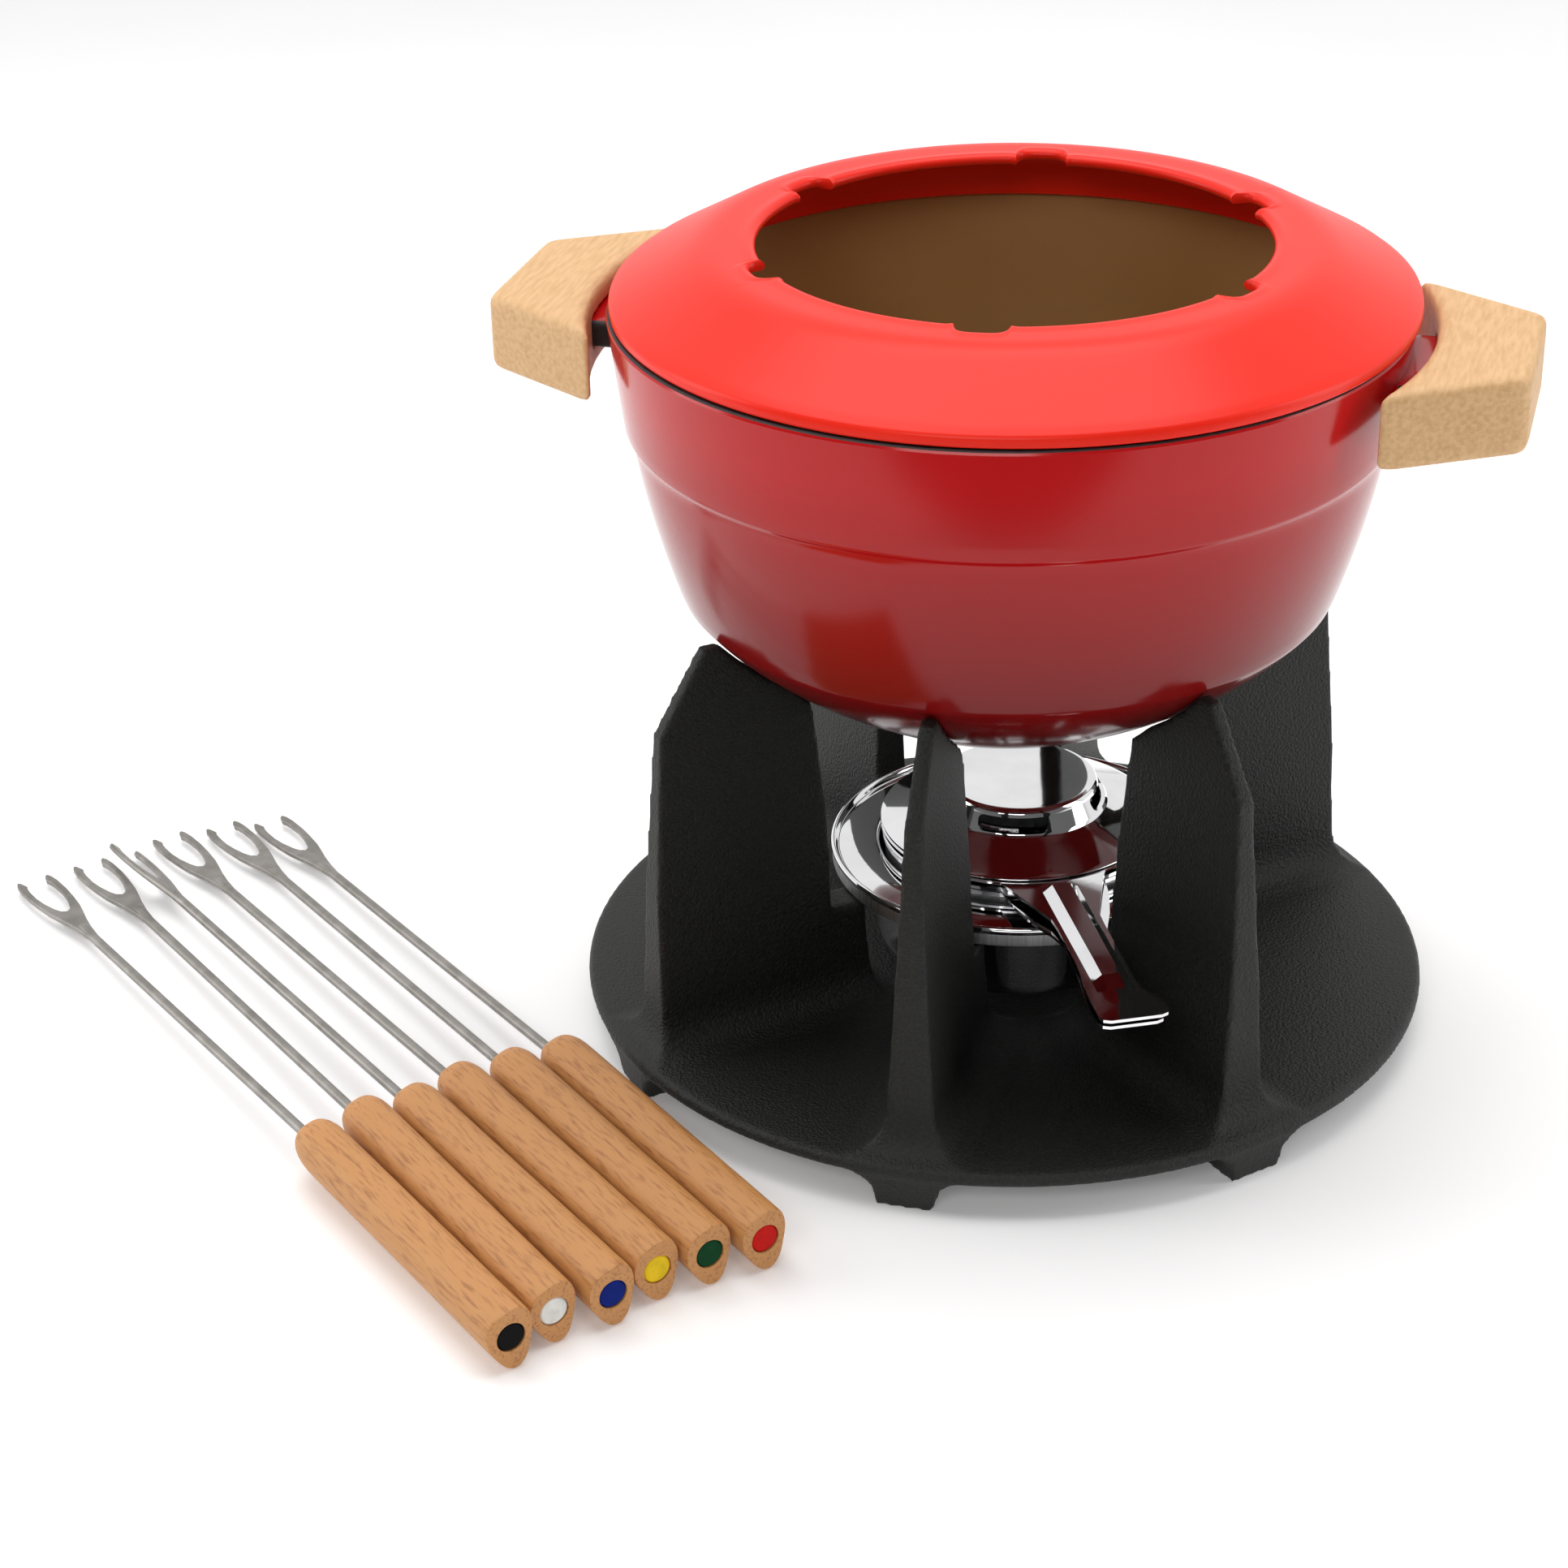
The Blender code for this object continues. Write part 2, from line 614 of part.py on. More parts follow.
def make_regulator(mat):
    root = REGULATOR_TOP - SHEET / 2
    stations = [
        (0.0345, root, 0.0142, 0.0142, 0),
        (0.0440, root, 0.0132, 0.0130, 0),
        (0.0534, root, 0.0106, 0.0104, 0),
        (0.0620, root + 0.0005, 0.0074, 0.0072, 0),
        (0.0680, root + 0.0007, 0.0059, 0.0058, 0),
        (0.0810, root + 0.0007, 0.0066, 0.0058, 0),
        (0.0945, root + 0.0007, 0.0079, 0.0062, 0),
        (0.1010, root + 0.0007, 0.0080, 0.0088, 0),
        (LEVER_END - 0.0026, root + 0.0007, 0.0079, 0.0092, 0),
        (LEVER_END - 0.0008, root + 0.0007, 0.0071, 0.0084, 0),
        (LEVER_END, root + 0.0007, 0.0053, 0.0066, 0),
    ]
    ring = plate_ring(SLEEVE_RADIUS - 0.0015, REGULATOR_RADIUS, REGULATOR_TOP)
    regulator = add_object("air_regulator", ring, mat, on_burner_axis())
    arm = add_object("regulator_arm", lever_bm(stations), mat, on_burner_axis(), LEVER_ANGLE)
    combine(regulator, arm, "UNION")
    low = REGULATOR_TOP + GAP
    profile = [
        (SLEEVE_RADIUS - SHEET, SLEEVE_TOP),
        (SLEEVE_RADIUS, SLEEVE_TOP),
        (SLEEVE_RADIUS, low),
        (SLEEVE_RADIUS - SHEET, low),
    ]
    cut_windows(add_object("regulator_sleeve", turned(profile, 48), mat, on_burner_axis()), mat)


# Forks


def tine_outline():
    """Plan of the fork's head along +X, from the shoulder at 0 to the tips: two hooked tines."""
    half = [(0, 0.0014), (0.0055, 0.0019), (0.011, 0.0028), (0.016, 0.0039), (0.0205, 0.0048)]
    half += [(0.027, 0.0055), (0.033, 0.0059), (0.0395, 0.0059), (0.0430, 0.0055)]
    half += [(HEAD_LENGTH, 0.0047), (0.0442, 0.0038), (0.0412, 0.0030), (0.0398, 0.0035)]
    half += [(0.037, 0.0038), (0.032, 0.0039), (0.0275, 0.0034)]
    half += [(0.0225, 0.0023), (0.0200, 0.0013)]
    return half + [(0.0190, 0)] + [(x, -y) for x, y in half[::-1]]


def handle_section(scale=1.0):
    """Rounded three-cornered section of a fork handle, in (side, up) about its centre."""
    points = []
    for step in range(15):
        angle = 2 * math.pi * (step + 0.35) / 15
        radius = 0.0076 + 0.0007 * math.cos(3 * (angle - math.radians(-103)))
        stretch = 1.13 if math.sin(angle) < 0 else 1.10
        points.append((0.815 * radius * math.cos(angle) * scale, stretch * radius * math.sin(angle) * scale))
    return points


def rod_stations(head_start, tip_drop):
    """(reach, height) along a fork's rod: straight in the handle, then falling to the head."""
    nose = FORK_HANDLE_LENGTH
    return [(nose - ROD_DEPTH, 0), (nose, 0), (nose + 0.003, -0.00006), (head_start + 0.008, tip_drop)]


def make_fork(index, steel, wood, dot_colour):
    colour = FORK_COLOURS[index]
    heading = FORK_DIRECTION + FORK_YAW[index]
    middle = Vector(polar(FORK_STAGGER[index] + FORK_HANDLE_LENGTH / 2, FORK_DIRECTION))
    middle += Vector(polar(FORK_FIRST_LATERAL + FORK_PITCH * index, FORK_DIRECTION - 90))
    start = Vector(on_axis(FORK_AXIS)) + middle - Vector(polar(FORK_HANDLE_LENGTH / 2, heading))
    frame = Matrix.Translation(start) @ Matrix.Rotation(math.radians(heading), 4, "Z")
    along_x = Matrix.Rotation(math.radians(90), 4, "Y")

    nose = [(0, 1), (0.0935, 1), (0.0972, 0.94), (0.1004, 0.81), (0.1026, 0.62), (FORK_HANDLE_LENGTH, 0.42)]
    rings = [[(reach, side, up) for side, up in handle_section(scale)] for reach, scale in nose]
    handle = add_object(f"fork_handle_{colour}", loft(rings), wood)
    hole_end = FORK_HANDLE_LENGTH - ROD_DEPTH - 0.0006
    rod_hole = [(0, 0.110), (ROD_HOLE_RADIUS, 0.110), (ROD_HOLE_RADIUS, hole_end), (0, hole_end)]
    dot_hole = [(0, DOT_DEPTH), (DOT_RADIUS + GAP, DOT_DEPTH), (DOT_RADIUS + GAP, -0.002), (0, -0.002)]
    for name, profile, sides in (("rod", rod_hole, 10), ("dot", dot_hole, 16)):
        cutter = add_object(f"{name}_hole_{colour}", turned(profile, sides), wood)
        cutter.matrix_world = frame @ along_x
        combine(handle, cutter, "DIFFERENCE")
    handle.matrix_world = frame

    dot = [(0, DOT_DEPTH - GAP), (DOT_RADIUS, DOT_DEPTH - GAP), (DOT_RADIUS, 0.0001), (0, 0.0001)]
    dot = add_object(f"fork_dot_{colour}", turned(dot, 16), dot_colour)
    dot.matrix_world = frame @ along_x

    head_start = FORK_LENGTHS[index] - HEAD_LENGTH
    slope = math.atan((FORK_AXIS - FORK_AXIS_AT_TIP[index]) / (FORK_LENGTHS[index] - FORK_HANDLE_LENGTH))
    head_drop = -math.tan(slope) * (head_start - FORK_HANDLE_LENGTH)
    rings = []
    for reach, height in rod_stations(head_start, head_drop - 0.008 * math.tan(slope)):
        circle = [polar(ROD_RADIUS, 36 * step) for step in range(10)]
        rings.append([(reach, side, height + up) for side, up, _ in circle])
    prongs = add_object(f"fork_prongs_{colour}", loft(rings), steel)
    prongs.matrix_world = frame
    head = prism(tine_outline(), -TINE_THICKNESS / 2, TINE_THICKNESS / 2)
    head = add_object(f"fork_head_{colour}", head, steel)
    tilt = Matrix.Rotation(slope, 4, "Y") @ Matrix.Rotation(math.radians(PRONG_ROLL[index]), 4, "X")
    head.matrix_world = frame @ Matrix.Translation((head_start, 0, head_drop)) @ tilt
    combine(prongs, head, "UNION")


def main():
    clear_scene()
    iron = make_material("cast_iron_black", (0.018, 0.020, 0.018), 0.62)
    pot_enamel = make_material("cherry_enamel", (0.42, 0.010, 0.012), 0.16)
    ring_enamel = make_material("red_enamel", (0.78, 0.022, 0.012), 0.28)
    beech = make_material("beech", (0.66, 0.38, 0.17), 0.55)
    fork_beech = make_material("fork_beech", (0.60, 0.30, 0.12), 0.55)
    chrome = make_material("polished_steel", (0.80, 0.80, 0.81), 0.06, 1.0)
    aluminium = make_material("can_aluminium", (0.72, 0.73, 0.74), 0.32, 1.0)
    fork_steel = make_material("fork_steel", (0.55, 0.53, 0.50), 0.35, 1.0)
    screw_steel = make_material("screw_steel", (0.50, 0.50, 0.50), 0.35, 1.0)
    dots = {
        "black": (0.010, 0.010, 0.012),
        "white": (0.80, 0.80, 0.76),
        "blue": (0.010, 0.030, 0.30),
        "yellow": (0.85, 0.62, 0.02),
        "green": (0.010, 0.10, 0.035),
        "red": (0.62, 0.015, 0.020),
    }
    make_stand(iron)
    make_pot(pot_enamel)
    make_ring(ring_enamel)
    make_handle("right", HANDLE_ANGLE, beech, screw_steel)
    make_handle("left", HANDLE_ANGLE + 180, beech, screw_steel)
    make_burner_dish(chrome)
    make_fuel_can(aluminium)
    make_cover(chrome)
    make_cover_handle(chrome)
    make_regulator(chrome)
    for index, colour in enumerate(FORK_COLOURS):
        dot = make_material(f"{colour}_dot", dots[colour], 0.35)
        make_fork(index, fork_steel, fork_beech, dot)


main()
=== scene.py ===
"""Fondue pot set: an enamelled pot with wooden handles and a notched fork-rest ring, on a finned
cast stand over a gel burner, with six colour-marked forks beside it."""

import math

import bmesh
import bpy
from mathutils import Matrix, Vector


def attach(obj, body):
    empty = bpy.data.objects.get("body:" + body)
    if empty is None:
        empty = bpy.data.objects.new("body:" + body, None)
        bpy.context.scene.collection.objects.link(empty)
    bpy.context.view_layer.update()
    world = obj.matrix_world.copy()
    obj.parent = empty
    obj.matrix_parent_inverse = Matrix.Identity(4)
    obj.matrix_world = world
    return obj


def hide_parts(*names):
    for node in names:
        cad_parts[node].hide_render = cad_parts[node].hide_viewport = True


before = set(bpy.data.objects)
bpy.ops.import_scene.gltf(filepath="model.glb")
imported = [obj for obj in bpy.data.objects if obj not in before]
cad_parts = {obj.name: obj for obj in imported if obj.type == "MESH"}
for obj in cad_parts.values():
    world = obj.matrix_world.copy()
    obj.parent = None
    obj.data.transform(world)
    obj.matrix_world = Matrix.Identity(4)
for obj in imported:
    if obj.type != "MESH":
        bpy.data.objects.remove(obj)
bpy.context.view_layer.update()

# Lengths are in metres and angles in degrees, apart from the camera's lens and sensor.
# The axis is the one that the pot and the stand share, and the gap is the play between
# pieces that touch.
AXIS_X = 0.0793
AXIS_Y = 0.0344
GAP = 0.0003
HANDLE_ANGLE = -12.2
SIDES = ("left", "right")

# Materials: the noises' detail, and how deep the relief is at full strength
CLOUD_DETAIL = 6
RELIEF_DETAIL = 3
RELIEF_DEPTH = 0.0005

# Fineness of the meshes
TURNED_SIDES = 240
HOLE_SIDES = 48
DOT_SIDES = 64
RING_SECTIONS = 720
ROD_SIDES = 24
HANDLE_SECTION_POINTS = 60
MERGE_DISTANCE = 1e-6
STAND_VOXEL = 0.0009
STAND_SMOOTHING = 3
HANDLE_VOXEL = 0.0007
HANDLE_SMOOTHING = 5

# Stand
LEDGE_HEIGHT = 0.0411

# Pot
BASE_RADIUS = 0.0425
BASE_HEIGHT = 0.0955
CREASE_RADIUS = 0.0860
CREASE_HEIGHT = 0.1272
UNDERSIDE_BULGE = 0.0048
STEP_RADIUS = 0.0972
STEP_HEIGHT = 0.1722
STEP_DEPTH = 0.0014
WALL_BULGE = 0.0011
RIM_RADIUS = 0.1021
RIM_HEIGHT = 0.2018
POT_WALL = 0.0046
RIM_ROUNDING = 0.0009
STEP_ROUNDING = 0.0012

# The pot's inner corner between its floor and its wall, as (radius, height)
POT_INNER_CORNER = (
    (0.0455, 0.1019),
    (0.0520, 0.1046),
    (0.0592, 0.1084),
    (0.0655, 0.1128),
    (0.0708, 0.1167),
    (0.0750, 0.1212),
    (0.0784, 0.1256),
    (0.0806, 0.1300),
)

# Limits between the pot's finishes: the bare band on the rim, the inside, and the bare lugs
RIM_BAND = 0.0004
INSIDE_LIMIT = 0.0985
BARE_LUG_START = 0.1032

# How far a face of the pot has to turn to the axis or upwards to count as inside or as rim
FACES_AXIS = -0.05
FACES_UP_INSIDE = 0.5
FACES_UP_RIM = 0.8

# Fork-rest ring
RING_X = 0.0009
RING_Y = 0.0011
RING_RADIUS = 0.1024
RING_EDGE_TOP = 0.2052
RING_THICKNESS = 0.0026
RING_SHOULDER_RADIUS = 0.0785
RING_TOP = 0.2181
RING_BLEND = 0.004
OPENING_RADIUS = 0.0650
SKIRT_RADIUS = 0.0947
SKIRT_BOTTOM = 0.1982
NOTCH_ANGLE = -96.3
NOTCH_DEPTH = 0.0045
NOTCH_HALF_ANGLE = 5.7
NOTCH_SPACING = 60
LIP_WIDTH = 0.0040
SKIRT_THICKNESS = 0.0021
EDGE_ROUNDING = 0.0009

# The corner beside each notch, which stands out a little into the opening: its height, and
# its place and width as shares of the notch's half angle
CUSP_HEIGHT = 0.0007
CUSP_PLACE = 1.08
CUSP_WIDTH = 0.12

# Wooden pot handles
HANDLE_TOP = 0.2003
HANDLE_THICKNESS = 0.0200
LUG_HALF_WIDTH = 0.0190
LUG_THICKNESS = 0.0070
LUG_REACH = 0.1210
LUG_ROOT = 0.0990
LUG_ROUNDING = 0.0012

# Burner
BURNER_X = 0.0042
SHEET = 0.0009
DISH_RADIUS = 0.0510
BEAD_RADIUS = 0.0514
BEAD_TOP = 0.0471
DISH_LIP = 0.0470
BOWL_RADIUS = 0.0389
BOWL_BOTTOM = 0.0180
DISH_ROUNDING = 0.0004
BRUSHED_TOP = BEAD_TOP - 0.0022
BRUSHED_INNER = DISH_RADIUS - 0.0004
REGULATOR_RADIUS = 0.0374
REGULATOR_TOP = 0.0510
BRIM_RADIUS = 0.0378
BRIM_TOP = 0.0534
COVER_TOP = 0.0656
DISC_RADIUS = 0.0196
COVER_ROUNDING = 0.0005
NECK_RADIUS = 0.0214
NECK_BASE_RADIUS = 0.0235
SLEEVE_RADIUS = 0.0200
WINDOW_ANGLE = -94
WINDOW_HALF_WIDTH = 0.0095
WINDOW_LOW = 0.0598
WINDOW_HIGH = 0.0637
WINDOW_COUNT = 4
WINDOW_CUT_RADII = (0.0150, 0.0300)
WINDOW_ROUNDING = 0.0016
COVER_PLATE_INNER = 0.0330
REGULATOR_INNER = SLEEVE_RADIUS - 0.0015
REGULATOR_RISE = 0.0007
LEVER_ANGLE = -75.0
LEVER_ROOT = 0.0345
LEVER_END = 0.1080
RIB_BASE_HALF = 0.0049
RIB_TOP_HALF = 0.0024
RIB_HEIGHT = 0.0021
RIB_SHARE = 0.8
LEVER_SLACK = 0.00003
SHEET_ROUNDING = 0.00022
SHEET_SMOOTH_ANGLE = 9

# Forks
FORK_DIRECTION = 127.4
FORK_PITCH = 0.0142
FORK_FIRST_LATERAL = -0.2002
FORK_COLOURS = ("black", "white", "blue", "yellow", "green", "red")
FORK_STAGGER = (-0.0740, -0.0712, -0.0735, -0.0712, -0.0732, -0.0758)
FORK_YAW = (0.5, -0.4, 0.4, 0.1, -0.4, -0.2)
PRONG_ROLL = (0, 0, 34, 0, 0, 0)
FORK_LENGTHS = (0.2845, 0.2815, 0.2825, 0.2830, 0.2815, 0.2785)
FORK_HANDLE_LENGTH = 0.1035
FORK_AXIS = 0.0097
FORK_AXIS_AT_TIP = (0.0024, 0.0024, 0.0046, 0.0024, 0.0024, 0.0024)
ROD_RADIUS = 0.0014
ROD_HOLE_RADIUS = 0.0018
ROD_DEPTH = 0.025
HEAD_LENGTH = 0.0450
TINE_THICKNESS = 0.0016
TINE_ROUNDING = 0.00045
ROD_END_GAP = 0.0006
ROD_OVERLAP = 0.008
DOT_RADIUS = 0.0036
DOT_DEPTH = 0.0030
DOT_BULGE = 0.00015

# How far along a fork the cutters of its handle's two holes reach, past the nose and the butt
PAST_NOSE = 0.110
BEFORE_BUTT = -0.002

# A fork handle's section, in metres and as shares of its radius
SECTION_RADIUS = 0.0076
SECTION_LOBE = 0.0007
SECTION_LOBE_ANGLE = -103
SECTION_LOBES = 3
SECTION_FIRST_STEP = 1.4
SECTION_WIDTH = 0.812
SECTION_HEIGHT = 1.115
SECTION_FLATTENING = 0.015
SECTION_FIT = 0.998

# How much of its section a fork handle keeps at its butt and at its nose, as (reach, share)
HANDLE_BUTT = ((0, 0.975), (0.0003, 0.99), (0.0008, 1))
HANDLE_NOSE = (
    (0.0920, 1),
    (0.0940, 0.992),
    (0.0958, 0.972),
    (0.0974, 0.937),
    (0.0988, 0.892),
    (0.1001, 0.833),
    (0.1012, 0.763),
    (0.1021, 0.68),
    (0.1028, 0.59),
    (0.1033, 0.50),
    (FORK_HANDLE_LENGTH, 0.42),
)

# The dots' light colours. Their dark ones are a share of them.
DOT_SHADE = 0.85
DOT_COLOURS = {
    "black": (0.004, 0.004, 0.005),
    "white": (0.82, 0.82, 0.78),
    "blue": (0.004, 0.018, 0.20),
    "yellow": (0.85, 0.58, 0.02),
    "green": (0.004, 0.055, 0.018),
    "red": (0.60, 0.012, 0.010),
}

# Surroundings: the floor's glow is an emission strength, and each softbox is
# (name, place, (width, height), watts)
FLOOR_HALF_SIZE = 4.0
FLOOR_CELLS = 24
FLOOR_GLOW = 0.14
CARD_BOX = ((-0.75, 0.85), (-1.35, -0.29), (0.001, 0.003))
LIGHT_TARGET = (0.06, 0.03, 0.13)
SOFTBOXES = (
    ("softbox_left", (-0.95, 0.05, 0.50), (0.36, 0.85), 3.2),
    ("softbox_right", (1.10, 0.00, 0.50), (0.36, 0.85), 3.2),
    ("softbox_top", (0.0, 0.25, 1.50), (1.4, 1.1), 15),
    ("softbox_front", (-0.25, -1.60, 1.30), (1.2, 0.5), 9),
)
WORLD_STOPS = ((0.0, (0.13, 0.13, 0.13)), (0.25, (0.86, 0.86, 0.86)))

# Camera: its lens and sensor in millimetres, its place, and its three axes
CAMERA_LENS = 77.10
CAMERA_SENSOR = 36
CAMERA_PLACE = (0.0793, -0.77473, 0.49317)
CAMERA_RIGHT = (0.99779728, 0.06325298, -0.01999142)
CAMERA_UP = (-0.01209036, 0.46971492, 0.88273536)
CAMERA_BACK = (0.06522591, -0.88054923, 0.46944502)


# Materials


def add_noise(tree, vector, scale, detail):
    noise = tree.nodes.new("ShaderNodeTexNoise")
    noise.inputs["Scale"].default_value = scale
    noise.inputs["Detail"].default_value = detail
    tree.links.new(vector, noise.inputs["Vector"])
    return noise.outputs["Fac"]


def add_ramp(tree, value, stops):
    """The colour that a value picks between two (position, colour) stops."""
    ramp = tree.nodes.new("ShaderNodeValToRGB")
    for element, (position, colour) in zip(ramp.color_ramp.elements, stops):
        element.position = position
        element.color = (*colour, 1)
    tree.links.new(value, ramp.inputs["Fac"])
    return ramp.outputs["Color"]


def add_painted_shade(tree, position, colour, painted_shade):
    """Painted shade by height: the colour above the high level, the shade colour below the low level, and a
    blend between.
    """
    low, high, shade = painted_shade
    split = tree.nodes.new("ShaderNodeSeparateXYZ")
    tree.links.new(position, split.inputs["Vector"])
    rise = tree.nodes.new("ShaderNodeMapRange")
    rise.inputs["From Min"].default_value = low
    rise.inputs["From Max"].default_value = high
    tree.links.new(split.outputs["Z"], rise.inputs["Value"])
    painted_shade_mix = tree.nodes.new("ShaderNodeMix")
    painted_shade_mix.data_type = "RGBA"
    painted_shade_mix.inputs["A"].default_value = (*shade, 1)
    tree.links.new(rise.outputs["Result"], painted_shade_mix.inputs["Factor"])
    tree.links.new(colour, painted_shade_mix.inputs["B"])
    return painted_shade_mix.outputs["Result"]


def add_relief(tree, vector, grain):
    """A normal roughened by fine noise. The grain is (fineness, strength)."""
    fineness, strength = grain
    bump = tree.nodes.new("ShaderNodeBump")
    bump.inputs["Strength"].default_value = strength
    bump.inputs["Distance"].default_value = RELIEF_DEPTH
    height = add_noise(tree, vector, fineness, RELIEF_DETAIL)
    tree.links.new(height, bump.inputs["Height"])
    return bump.outputs["Normal"]


def surface(
    name,
    dark,
    light,
    scale,
    rough,
    grain,
    metallic=0.0,
    specular=0.5,
    turn=0.0,
    stretch=(1, 1, 1),
    spread=(0.35, 0.65),
    painted_shade=None,
):
    """A surface whose colour, roughness and relief all vary with fine noise.

    The noise runs from dark to light between its two spread values, and the roughness between
    the two of rough. The pattern is turned by an angle and stretched along each axis. A painted
    shade, where there is one, is (low height, high height, shade) and paints the colour darker below a
    height.
    """
    mat = bpy.data.materials.new(name)
    mat.use_nodes = True
    tree = mat.node_tree
    shader = tree.nodes["Principled BSDF"]
    place = tree.nodes.new("ShaderNodeTexCoord")
    mapping = tree.nodes.new("ShaderNodeMapping")
    mapping.vector_type = "TEXTURE"
    mapping.inputs["Rotation"].default_value = (0, 0, math.radians(turn))
    mapping.inputs["Scale"].default_value = stretch
    tree.links.new(place.outputs["Object"], mapping.inputs["Vector"])
    vector = mapping.outputs["Vector"]
    cloud = add_noise(tree, vector, scale, CLOUD_DETAIL)
    colour = add_ramp(tree, cloud, ((spread[0], dark), (spread[1], light)))
    # painted shade: the colour is darkened below a height
    if painted_shade:
        colour = add_painted_shade(tree, place.outputs["Object"], colour, painted_shade)
    tree.links.new(colour, shader.inputs["Base Color"])
    span = tree.nodes.new("ShaderNodeMapRange")
    span.inputs["To Min"].default_value = rough[0]
    span.inputs["To Max"].default_value = rough[1]
    tree.links.new(cloud, span.inputs["Value"])
    tree.links.new(span.outputs["Result"], shader.inputs["Roughness"])
    tree.links.new(add_relief(tree, vector, grain), shader.inputs["Normal"])
    shader.inputs["Metallic"].default_value = metallic
    shader.inputs["Specular IOR Level"].default_value = specular
    return mat


def cast_iron():
    """The stand's matt black coating over a cast texture."""
    return surface(
        "cast_iron_black",
        dark=(0.0035, 0.0045, 0.0035),
        light=(0.013, 0.015, 0.012),
        scale=1400,
        rough=(0.46, 0.62),
        grain=(1300, 1.0),
        specular=0.42,
    )


def cherry_enamel():
    """The pot's glossy outside, with painted shade deepening it towards its base."""
    return surface(
        "cherry_enamel",
        dark=(0.47, 0.005, 0.006),
        light=(0.54, 0.007, 0.009),
        scale=9,
        rough=(0.12, 0.17),
        grain=(26, 0.05),
        specular=0.32,
        # painted shade: the enamel is darkened below the pot's belly and under its crease
        painted_shade=(0.110, 0.190, (0.10, 0.004, 0.004)),
    )


def inside_enamel():
    """The pot's beige-brown inside."""
    return surface(
        "inside_enamel",
        dark=(0.37, 0.215, 0.075),
        light=(0.43, 0.26, 0.10),
        scale=14,
        rough=(0.34, 0.44),
        grain=(60, 0.02),
        specular=0.3,
    )


def bare_rim():
    """The dark bare metal of the pot's rim and lugs."""
    return surface(
        "bare_rim",
        dark=(0.012, 0.010, 0.010),
        light=(0.03, 0.025, 0.025),
        scale=300,
        rough=(0.5, 0.7),
        grain=(800, 0.2),
    )


def red_enamel():
    """The ring's satin bright red."""
    return surface(
        "red_enamel",
        dark=(0.86, 0.020, 0.008),
        light=(0.94, 0.026, 0.011),
        scale=12,
        rough=(0.28, 0.35),
        grain=(40, 0.01),
        specular=0.22,
    )


def beech(side):
    """Pale beech, its grain running across the line through the two pot handles."""
    return surface(
        f"beech_{side}",
        dark=(0.60, 0.345, 0.145),
        light=(0.72, 0.45, 0.22),
        scale=1,
        rough=(0.48, 0.6),
        grain=(4, 0.10),
        turn=HANDLE_ANGLE + 90,
        stretch=(0.008, 0.0013, 0.0013),
        spread=(0.30, 0.62),
    )


def fork_beech():
    """Darker beech with flecks along the forks."""
    return surface(
        "fork_beech",
        dark=(0.38, 0.150, 0.043),
        light=(0.57, 0.265, 0.085),
        scale=1,
        rough=(0.48, 0.6),
        grain=(4, 0.12),
        turn=FORK_DIRECTION,
        stretch=(0.007, 0.0008, 0.0008),
        spread=(0.30, 0.50),
    )


def polished_steel():
    """The burner's mirror polish."""
    return surface(
        "polished_steel",
        dark=(0.84, 0.84, 0.85),
        light=(0.92, 0.92, 0.93),
        scale=70,
        rough=(0.035, 0.07),
        grain=(250, 0.01),
        metallic=1.0,
    )


def can_aluminium():
    """The fuel can's plain satin."""
    return surface(
        "can_aluminium",
        dark=(0.66, 0.67, 0.68),
        light=(0.76, 0.77, 0.78),
        scale=120,
        rough=(0.28, 0.4),
        grain=(500, 0.05),
        metallic=1.0,
    )


def brushed_steel():
    """The brushed outside of the dish's skirt."""
    return surface(
        "brushed_steel",
        dark=(0.62, 0.62, 0.62),
        light=(0.84, 0.84, 0.84),
        scale=1,
        rough=(0.34, 0.46),
        grain=(6, 0.1),
        metallic=1.0,
        stretch=(0.0007, 0.0007, 0.02),
    )


def fork_steel():
    """The forks' satin prongs."""
    return surface(
        "fork_steel",
        dark=(0.24, 0.225, 0.205),
        light=(0.34, 0.32, 0.30),
        scale=160,
        rough=(0.36, 0.5),
        grain=(700, 0.06),
        metallic=1.0,
    )


def screw_steel():
    """The pot handles' screws and washers."""
    return surface(
        "screw_steel",
        dark=(0.42, 0.42, 0.42),
        light=(0.56, 0.56, 0.56),
        scale=200,
        rough=(0.3, 0.42),
        grain=(700, 0.06),
        metallic=1.0,
    )


def dot_plastic(colour):
    """One fork's satin colour mark."""
    return surface(
        f"dot_{colour}",
        dark=tuple(DOT_SHADE * part for part in DOT_COLOURS[colour]),
        light=DOT_COLOURS[colour],
        scale=400,
        rough=(0.4, 0.5),
        grain=(900, 0.05),
        specular=0.06,
    )


def pale_floor():
    """The plain floor, before its glow is set."""
    return surface(
        "pale_floor",
        dark=(0.92, 0.92, 0.92),
        light=(0.96, 0.96, 0.96),
        scale=3,
        rough=(0.55, 0.65),
        grain=(300, 0.01),
    )


def card_black():
    """A matt black that hardly reflects."""
    return surface(
        "black_card",
        dark=(0.004, 0.004, 0.004),
        light=(0.008, 0.008, 0.008),
        scale=40,
        rough=(0.8, 0.9),
        grain=(300, 0.05),
        specular=0.1,
    )


# Building


def add_object(name, bm, mat, location=(0, 0, 0), angle=0.0):
    bmesh.ops.recalc_face_normals(bm, faces=bm.faces)
    mesh = bpy.data.meshes.new(name)
    bm.to_mesh(mesh)
    bm.free()
    mesh.shade_smooth()
    mesh.materials.append(mat)
    obj = bpy.data.objects.new(name, mesh)
    obj.location = location
    obj.rotation_euler = (0, 0, math.radians(angle))
    bpy.context.scene.collection.objects.link(obj)
    return obj


def combine(obj, other, operation):
    """Joins another solid to an object, or cuts it away."""
    modifier = obj.modifiers.new(other.name, "BOOLEAN")
    modifier.operation = operation
    modifier.object = other


